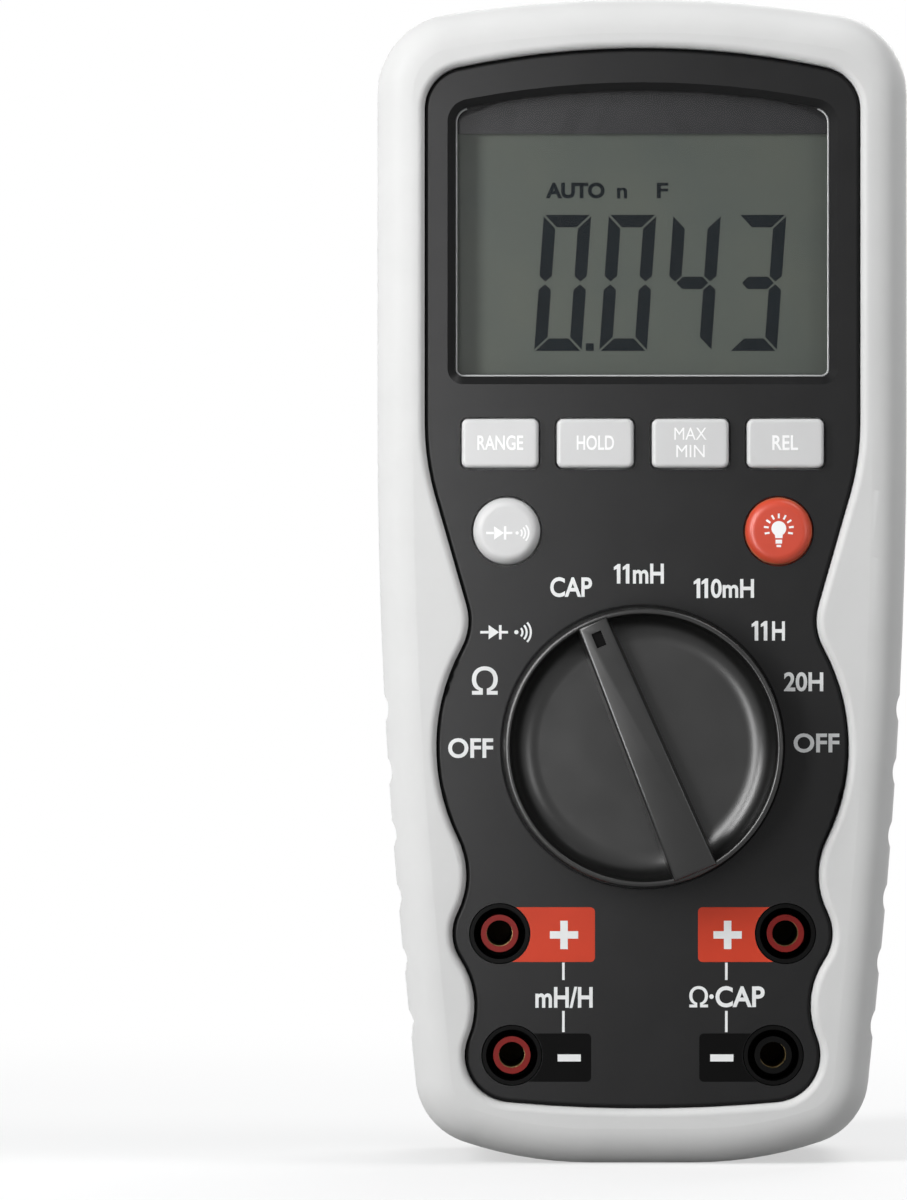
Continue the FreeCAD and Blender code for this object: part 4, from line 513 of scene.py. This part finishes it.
def turned(name, profile, steps):
    """A closed body turned from a half profile of radii and levels that starts and ends on the axis."""
    shape = bmesh.new()
    angles = [2 * math.pi * step / steps for step in range(steps)]
    rows = []
    for radius, level in profile:
        if radius == 0:
            rows.append([shape.verts.new((0, 0, level))] * steps)
        else:
            rows.append([shape.verts.new((radius * math.cos(turn), radius * math.sin(turn), level))
                         for turn in angles])
    for low, high in zip(rows, rows[1:]):
        for step in range(steps):
            ahead = (step + 1) % steps
            loop = dict.fromkeys((low[step], low[ahead], high[ahead], high[step]))
            shape.faces.new(list(loop))
    return to_mesh(name, shape)


def block(low, high):
    """A closed block between four corners on a low level and four on a high level."""
    shape = bmesh.new()
    rows = [[shape.verts.new(spot) for spot in row] for row in (low, high)]
    shape.faces.new(rows[0])
    shape.faces.new(rows[1])
    for step in range(4):
        ahead = (step + 1) % 4
        shape.faces.new([rows[0][step], rows[0][ahead], rows[1][ahead], rows[1][step]])
    return shape


def corners(across, low, high, level):
    """Four corners of an upright trapezium: half widths and reaches at its low and high end."""
    first, last = across
    return [(-first, low, level), (first, low, level), (last, high, level), (-last, high, level)]


def combine(mesh, tool, way):
    """One mesh from two, by a boolean."""
    pair = [bpy.data.objects.new("work", item) for item in (mesh, tool)]
    for item in pair:
        scene.collection.objects.link(item)
    modifier = pair[0].modifiers.new("combine", "BOOLEAN")
    modifier.solver = "EXACT"
    modifier.operation = way
    modifier.object = pair[1]
    bpy.context.view_layer.update()
    result = bpy.data.meshes.new_from_object(pair[0].evaluated_get(bpy.context.evaluated_depsgraph_get()))
    for item in pair:
        bpy.data.objects.remove(item)
    return result


def dished_knob():
    """The knob with a thin lip, a dish that sweeps up to it, a tapered pointer bar and its hub."""
    outer, skirt, lip_inner, sweep, hub = 21.5, 21.8, 20.65, 4.6, 7.0
    rounding, edge, sunk = 0.45, 0.3, 0.4
    crest = outer - rounding
    profile = [(0, HUB_END), (hub, HUB_END), (hub, KNOB_BASE), (skirt, KNOB_BASE)]
    profile += ring((crest, KNOB_RIM - rounding), rounding, 0, 90, 6)
    profile += ring((lip_inner + edge, KNOB_RIM - edge), edge, 90, 180, 5)
    profile += ring((lip_inner - sweep, KNOB_FLOOR + sweep), sweep, -4, -90, 22)
    profile.append((0, KNOB_FLOOR))
    knob = turned("knob_body", profile, 192)
    nose, tail, reach, flare, draft = 2.35, 3.5, 20.9, 0.4, 0.2
    bar = block(corners((tail + flare, nose + flare), -reach - draft, reach + draft, KNOB_FLOOR - sunk),
                corners((tail, nose), -reach, reach, KNOB_TOP))
    top = [line for line in bar.edges if all(end.co.z > KNOB_TOP - 0.01 for end in line.verts)]
    bmesh.ops.bevel(bar, geom=top, offset=0.5, segments=4, profile=0.5, affect="EDGES")
    knob = combine(knob, to_mesh("pointer_bar", bar), "UNION")
    mark_half, clear = 0.8, 1.5
    mark = block(*(corners((mark_half, mark_half), MARK_START, MARK_END, level)
                   for level in (KNOB_TOP - MARK_DEPTH, KNOB_TOP + clear)))
    knob = combine(knob, to_mesh("pointer_mark", mark), "DIFFERENCE")
    spigot_half, overlap = 3.0, 1.0
    spigot = block(*(corners((spigot_half, spigot_half), -spigot_half, spigot_half, level)
                     for level in (SPIGOT_END, HUB_END + overlap)))
    knob = combine(knob, to_mesh("spigot", spigot), "UNION")
    for polygon in knob.polygons:
        polygon.use_smooth = True
    knob.set_sharp_from_angle(angle=math.radians(25))
    along, across = math.cos(KNOB_TURN), math.sin(KNOB_TURN)
    place = Matrix(((along, -across, 0, 0), (0, 0, -1, 0), (across, along, 0, KNOB_CENTRE), (0, 0, 0, 1)))
    knob.transform(Matrix.Scale(MM, 4) @ place)
    return knob


knob_piece = settle("dished_knob", dished_knob(), knob_black, "knob")
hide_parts("selector_knob")
FILL_HALF, FILL_GAP = 0.78, 0.02
FILL_START, FILL_END = MARK_START + FILL_GAP, MARK_END - FILL_GAP
mark_fill = Print(KNOB_TOP - MARK_DEPTH)
mark_fill.outline([(u * math.cos(KNOB_TURN) - v * math.sin(KNOB_TURN),
                    KNOB_CENTRE + u * math.sin(KNOB_TURN) + v * math.cos(KNOB_TURN))
                   for u, v in ((-FILL_HALF, FILL_START), (FILL_HALF, FILL_START),
                                (FILL_HALF, FILL_END), (-FILL_HALF, FILL_END))])
mark_fill.done("pointer_mark_fill", black_ink, "knob")


# What repeats

def new_tree(name, inputs):
    """An empty geometry tree with named inputs for its sizes."""
    tree = bpy.data.node_groups.new(name, "GeometryNodeTree")
    tree.interface.new_socket("Geometry", in_out="OUTPUT", socket_type="NodeSocketGeometry")
    for label, kind in inputs:
        tree.interface.new_socket(label, in_out="INPUT", socket_type=kind)
    return tree


def grow(name, tree, values, body, place, path=None):
    """Run a tree with its inputs set, bake the result to a plain mesh and put it in place."""
    holder = bpy.data.objects.new(name, path or bpy.data.meshes.new(name))
    scene.collection.objects.link(holder)
    modifier = holder.modifiers.new(name, "NODES")
    modifier.node_group = tree
    for item in tree.interface.items_tree:
        if item.item_type == "SOCKET" and item.in_out == "INPUT" and item.name in values:
            modifier[item.identifier] = values[item.name]
    bpy.context.view_layer.update()
    mesh = bpy.data.meshes.new_from_object(holder.evaluated_get(bpy.context.evaluated_depsgraph_get()))
    bpy.data.objects.remove(holder)
    mesh.transform(place)
    settle(name, mesh, values["Finish"], body)


def close_tree(tree, geometry, finish_socket):
    """End a tree with real geometry in one finish."""
    nodes, links = tree.nodes, tree.links
    realize = nodes.new("GeometryNodeRealizeInstances")
    paint = nodes.new("GeometryNodeSetMaterial")
    out = nodes.new("NodeGroupOutput")
    links.new(geometry, realize.inputs["Geometry"])
    links.new(realize.outputs["Geometry"], paint.inputs["Geometry"])
    links.new(finish_socket, paint.inputs["Material"])
    links.new(paint.outputs["Geometry"], out.inputs[0])


def ray_tree():
    """Rays round a bulb: bars on the points of an arc, each pointing outwards."""
    tree = new_tree("bulb_rays", [("Radius", "NodeSocketFloat"), ("Count", "NodeSocketInt"),
                                  ("Ray", "NodeSocketVector"), ("Finish", "NodeSocketMaterial")])
    nodes, links = tree.nodes, tree.links
    sizes = nodes.new("NodeGroupInput")
    arc = nodes.new("GeometryNodeCurveArc")
    arc.inputs["Start Angle"].default_value = math.radians(-22)
    arc.inputs["Sweep Angle"].default_value = math.radians(224)
    links.new(sizes.outputs["Count"], arc.inputs["Resolution"])
    links.new(sizes.outputs["Radius"], arc.inputs["Radius"])
    ray = nodes.new("GeometryNodeMeshCube")
    links.new(sizes.outputs["Ray"], ray.inputs["Size"])
    spots = nodes.new("GeometryNodeCurveToPoints")
    spots.mode = "EVALUATED"
    links.new(arc.outputs["Curve"], spots.inputs["Curve"])
    spread = nodes.new("GeometryNodeInstanceOnPoints")
    links.new(spots.outputs["Points"], spread.inputs["Points"])
    links.new(ray.outputs["Mesh"], spread.inputs["Instance"])
    links.new(spots.outputs["Rotation"], spread.inputs["Rotation"])
    close_tree(tree, spread.outputs["Instances"], sizes.outputs["Finish"])
    return tree


def recess_tree():
    """Cross recesses: two crossed bars on each point of a row."""
    tree = new_tree("cross_recesses", [("Spacing", "NodeSocketFloat"), ("Count", "NodeSocketInt"),
                                       ("Bar", "NodeSocketVector"), ("Finish", "NodeSocketMaterial")])
    nodes, links = tree.nodes, tree.links
    sizes = nodes.new("NodeGroupInput")
    step = nodes.new("ShaderNodeCombineXYZ")
    links.new(sizes.outputs["Spacing"], step.inputs["X"])
    row = nodes.new("GeometryNodeMeshLine")
    links.new(sizes.outputs["Count"], row.inputs["Count"])
    links.new(step.outputs["Vector"], row.inputs["Offset"])
    bar = nodes.new("GeometryNodeMeshCube")
    links.new(sizes.outputs["Bar"], bar.inputs["Size"])
    crossed = nodes.new("GeometryNodeTransform")
    crossed.inputs["Rotation"].default_value = (0, 0, math.pi / 2)
    links.new(bar.outputs["Mesh"], crossed.inputs["Geometry"])
    union = nodes.new("GeometryNodeMeshBoolean")
    union.operation = "UNION"
    links.new(bar.outputs["Mesh"], union.inputs["Mesh 2"])
    links.new(crossed.outputs["Geometry"], union.inputs["Mesh 2"])
    spread = nodes.new("GeometryNodeInstanceOnPoints")
    links.new(row.outputs["Mesh"], spread.inputs["Points"])
    links.new(union.outputs["Mesh"], spread.inputs["Instance"])
    close_tree(tree, spread.outputs["Instances"], sizes.outputs["Finish"])
    return tree


def bead_tree():
    """A round bead along a path, closed at its ends."""
    tree = new_tree("edge_bead", [("Path", "NodeSocketGeometry"), ("Radius", "NodeSocketFloat"),
                                  ("Finish", "NodeSocketMaterial")])
    nodes, links = tree.nodes, tree.links
    sizes = nodes.new("NodeGroupInput")
    section = nodes.new("GeometryNodeCurvePrimitiveCircle")
    section.inputs["Resolution"].default_value = 12
    links.new(sizes.outputs["Radius"], section.inputs["Radius"])
    sweep = nodes.new("GeometryNodeCurveToMesh")
    sweep.inputs["Fill Caps"].default_value = True
    links.new(sizes.outputs["Path"], sweep.inputs["Curve"])
    links.new(section.outputs["Curve"], sweep.inputs["Profile Curve"])
    close_tree(tree, sweep.outputs["Mesh"], sizes.outputs["Finish"])
    return tree


def window_edge_path(inset):
    """Down one side of the window opening, along its foot and up the other side."""
    half, foot, shoulder = 29.1, 122.3, 161.84
    top_round, foot_round = 2.4, 1.2
    spots = ring((-half + top_round, shoulder), top_round - inset, 105, 180, 8)
    spots += ring((-half + foot_round, foot + foot_round), foot_round - inset, 180, 270, 6)
    spots += ring((half - foot_round, foot + foot_round), foot_round - inset, 270, 360, 6)
    spots += ring((half - top_round, shoulder), top_round - inset, 0, 75, 8)
    path = bpy.data.curves.new("window_edge_path", "CURVE")
    path.dimensions = "3D"
    line = path.splines.new("POLY")
    line.points.add(len(spots) - 1)
    for spot, place in zip(line.points, spots):
        spot.co = (*point(*place, WINDOW_FRONT), 1.0)
    return path


# A bead down the sides and along the foot of the window opening, left off the top, which lies in shade; its
# pale colour is a painted highlight
EDGE_BEAD = 0.17
grow("window_edge", bead_tree(), {"Radius": EDGE_BEAD * MM, "Finish": painted_edge_highlight}, "case",
     Matrix(), window_edge_path(EDGE_BEAD))

TO_FRONT = Matrix.Rotation(math.pi / 2, 4, "X")
UPRIGHT = Matrix.Rotation(math.pi / 2, 4, "Z")
RAY_RADIUS, RAY_LENGTH, RAY_WIDTH = 1.95, 0.75, 0.30
SLOT_WIDTH, SLOT_DEPTH = 0.55, 0.04
grow("light_key_rays", ray_tree(),
     {"Radius": RAY_RADIUS * MM, "Count": 9,
      "Ray": (RAY_LENGTH * MM, INK * MM, RAY_WIDTH * MM), "Finish": key_ink},
     "light_key_body",
     Matrix.Translation(point(*BULB_CENTRE, KEY_LEVEL + INK / 2)) @ TO_FRONT)
recesses = recess_tree()
for name, low, high, across, level, reach in (
        ("door_screw_recesses", 48.5, 104.7, 0, DOOR_LEVEL, 2.2),
        ("case_screw_recesses_left", 16.0, 16.0, -11.0, SCREW_LEVEL, 2.8),
        ("case_screw_recesses_right", 16.0, 16.0, 11.0, SCREW_LEVEL, 2.8),
        ("case_screw_recesses_top_left", 169.0, 169.0, -20.0, SCREW_LEVEL, 2.8),
        ("case_screw_recesses_top_right", 169.0, 169.0, 20.0, SCREW_LEVEL, 2.8)):
    grow(name, recesses,
         {"Spacing": (high - low) * MM, "Count": 2 if high > low else 1,
          "Bar": (reach * MM, SLOT_WIDTH * MM, SLOT_DEPTH * MM), "Finish": black_ink},
         "case",
         Matrix.Translation(point(across, low, level)) @ TO_FRONT @ UPRIGHT)


# Floor, light and camera

def shown(tree):
    """A socket that is 1 for what the camera sees straight, mirrored or through glass, and 0 for light."""
    ray = tree.nodes.new("ShaderNodeLightPath")
    total = ray.outputs["Is Camera Ray"]
    for way in ("Is Glossy Ray", "Is Transmission Ray"):
        more = tree.nodes.new("ShaderNodeMath")
        more.operation = "MAXIMUM"
        tree.links.new(total, more.inputs[0])
        tree.links.new(ray.outputs[way], more.inputs[1])
        total = more.outputs["Value"]
    return total


def studio_white():
    """Pale floor that keeps the shadow, fades into the white behind it and throws little light up."""
    pale, bounce = 0.86, 0.26
    near, far = 0.08, 0.40
    material = finish("studio_floor", (pale, pale, pale), 0.9, Specular_IOR_Level=0.0)
    nodes, links = material.node_tree.nodes, material.node_tree.links
    glow = nodes.new("ShaderNodeEmission")
    mix = nodes.new("ShaderNodeMixShader")
    place = nodes.new("ShaderNodeTexCoord")
    reach = nodes.new("ShaderNodeVectorMath")
    reach.operation = "LENGTH"
    fade = nodes.new("ShaderNodeMapRange")
    fade.interpolation_type = "SMOOTHSTEP"
    fade.inputs["From Min"].default_value = near
    fade.inputs["From Max"].default_value = far
    fade.inputs["To Min"].default_value = 0.55
    fade.inputs["To Max"].default_value = 1.0
    share = nodes.new("ShaderNodeMath")
    share.operation = "MULTIPLY"
    seen = shown(material.node_tree)
    shade = nodes.new("ShaderNodeMapRange")
    shade.inputs["To Min"].default_value = bounce
    shade.inputs["To Max"].default_value = pale
    links.new(seen, shade.inputs["Value"])
    links.new(shade.outputs["Result"], nodes["Principled BSDF"].inputs["Base Color"])
    links.new(place.outputs["Object"], reach.inputs[0])
    links.new(reach.outputs["Value"], fade.inputs["Value"])
    links.new(fade.outputs["Result"], share.inputs[1])
    links.new(seen, share.inputs[0])
    links.new(share.outputs["Value"], mix.inputs["Fac"])
    links.new(nodes["Principled BSDF"].outputs["BSDF"], mix.inputs[1])
    links.new(glow.outputs["Emission"], mix.inputs[2])
    links.new(mix.outputs["Shader"], nodes["Material Output"].inputs["Surface"])
    return material


FLOOR_REACH = 2.0
floor_corners = [(x * FLOOR_REACH, y * FLOOR_REACH, 0) for x, y in ((-1, -1), (1, -1), (1, 1), (-1, 1))]
floor_mesh = bpy.data.meshes.new("floor")
floor_mesh.from_pydata(floor_corners, [], [(0, 1, 2, 3)])
floor_mesh.materials.append(studio_white())
floor = bpy.data.objects.new("floor", floor_mesh)
scene.collection.objects.link(floor)


def studio_world():
    """White to the camera, and an even light on the object that is stronger from the upper left."""
    world = bpy.data.worlds.new("studio")
    world.use_nodes = True
    nodes, links = world.node_tree.nodes, world.node_tree.links
    upper_left = (-0.72, -0.10, 0.68)
    weak, strong = 0.06, 0.36
    fill = nodes["Background"]
    fill.inputs["Color"].default_value = (0.96, 0.98, 1.0, 1.0)
    place = nodes.new("ShaderNodeTexCoord")
    lean = nodes.new("ShaderNodeVectorMath")
    lean.operation = "DOT_PRODUCT"
    lean.inputs[1].default_value = upper_left
    level = nodes.new("ShaderNodeMapRange")
    level.inputs["From Min"].default_value = -1.0
    level.inputs["From Max"].default_value = 1.0
    level.inputs["To Min"].default_value = weak
    level.inputs["To Max"].default_value = strong
    white = nodes.new("ShaderNodeBackground")
    white.inputs["Color"].default_value = (1, 1, 1, 1)
    mix = nodes.new("ShaderNodeMixShader")
    links.new(place.outputs["Generated"], lean.inputs[0])
    links.new(lean.outputs["Value"], level.inputs["Value"])
    links.new(level.outputs["Result"], fill.inputs["Strength"])
    links.new(shown(world.node_tree), mix.inputs["Fac"])
    links.new(fill.outputs["Background"], mix.inputs[1])
    links.new(white.outputs["Background"], mix.inputs[2])
    links.new(mix.outputs["Shader"], nodes["World Output"].inputs["Surface"])
    return world


scene.world = studio_world()
scene.view_settings.view_transform = "Standard"


def area_light(name, place, aim, width, height, power):
    """A soft light that faces a point, with its lengths in metres and its power in watts."""
    data = bpy.data.lights.new(name, "AREA")
    data.shape = "RECTANGLE"
    data.size = width
    data.size_y = height
    data.energy = power
    light = bpy.data.objects.new(name, data)
    light.location = place
    light.rotation_euler = (Vector(aim) - Vector(place)).to_track_quat("-Z", "Y").to_euler()
    scene.collection.objects.link(light)
    return light


MIDDLE = (0, 0, 0.09)
area_light("key_light", (-0.48, -0.39, 0.30), MIDDLE, 0.12, 0.42, 4.2)
area_light("fill_light", (0.55, -0.60, 0.16), MIDDLE, 0.15, 0.3, 1.0)
area_light("top_light", (0.28, -0.10, 0.62), MIDDLE, 0.2, 0.3, 1.3)
area_light("rear_light", (0.20, 0.60, 0.45), MIDDLE, 0.5, 0.5, 2.6)
# A strip close by on the left that lights gloss alone, for the sheen on the panel and the knob
PANEL_LEFT = (-0.04, -0.02, 0.095)
sheen = area_light("sheen_light", (-0.07, -0.17, 0.115), PANEL_LEFT, 0.04, 0.19, 0.48)
sheen.visible_diffuse = False
sheen.visible_camera = False

# The picture in pixels: its size, its scale to a millimetre at one level, and the object's axis and base
PICTURE_WIDTH, PICTURE_HEIGHT = 907, 1200
SCALE, SCALE_LEVEL = 6.42, 14.4
AXIS_PIXEL, BASE_PIXEL = 642.0, 1162.4
DISTANCE = 1.3
SENSOR = 36.0
camera_data = bpy.data.cameras.new("camera")
camera_data.sensor_fit = "VERTICAL"
camera_data.sensor_height = SENSOR
camera_data.lens = SENSOR * DISTANCE / (PICTURE_HEIGHT / SCALE * MM)
camera = bpy.data.objects.new("camera", camera_data)
camera.location = point((PICTURE_WIDTH / 2 - AXIS_PIXEL) / SCALE, (BASE_PIXEL - PICTURE_HEIGHT / 2) / SCALE,
                        SCALE_LEVEL + DISTANCE / MM)
camera.rotation_euler = (math.pi / 2, 0, 0)
scene.collection.objects.link(camera)
scene.camera = camera
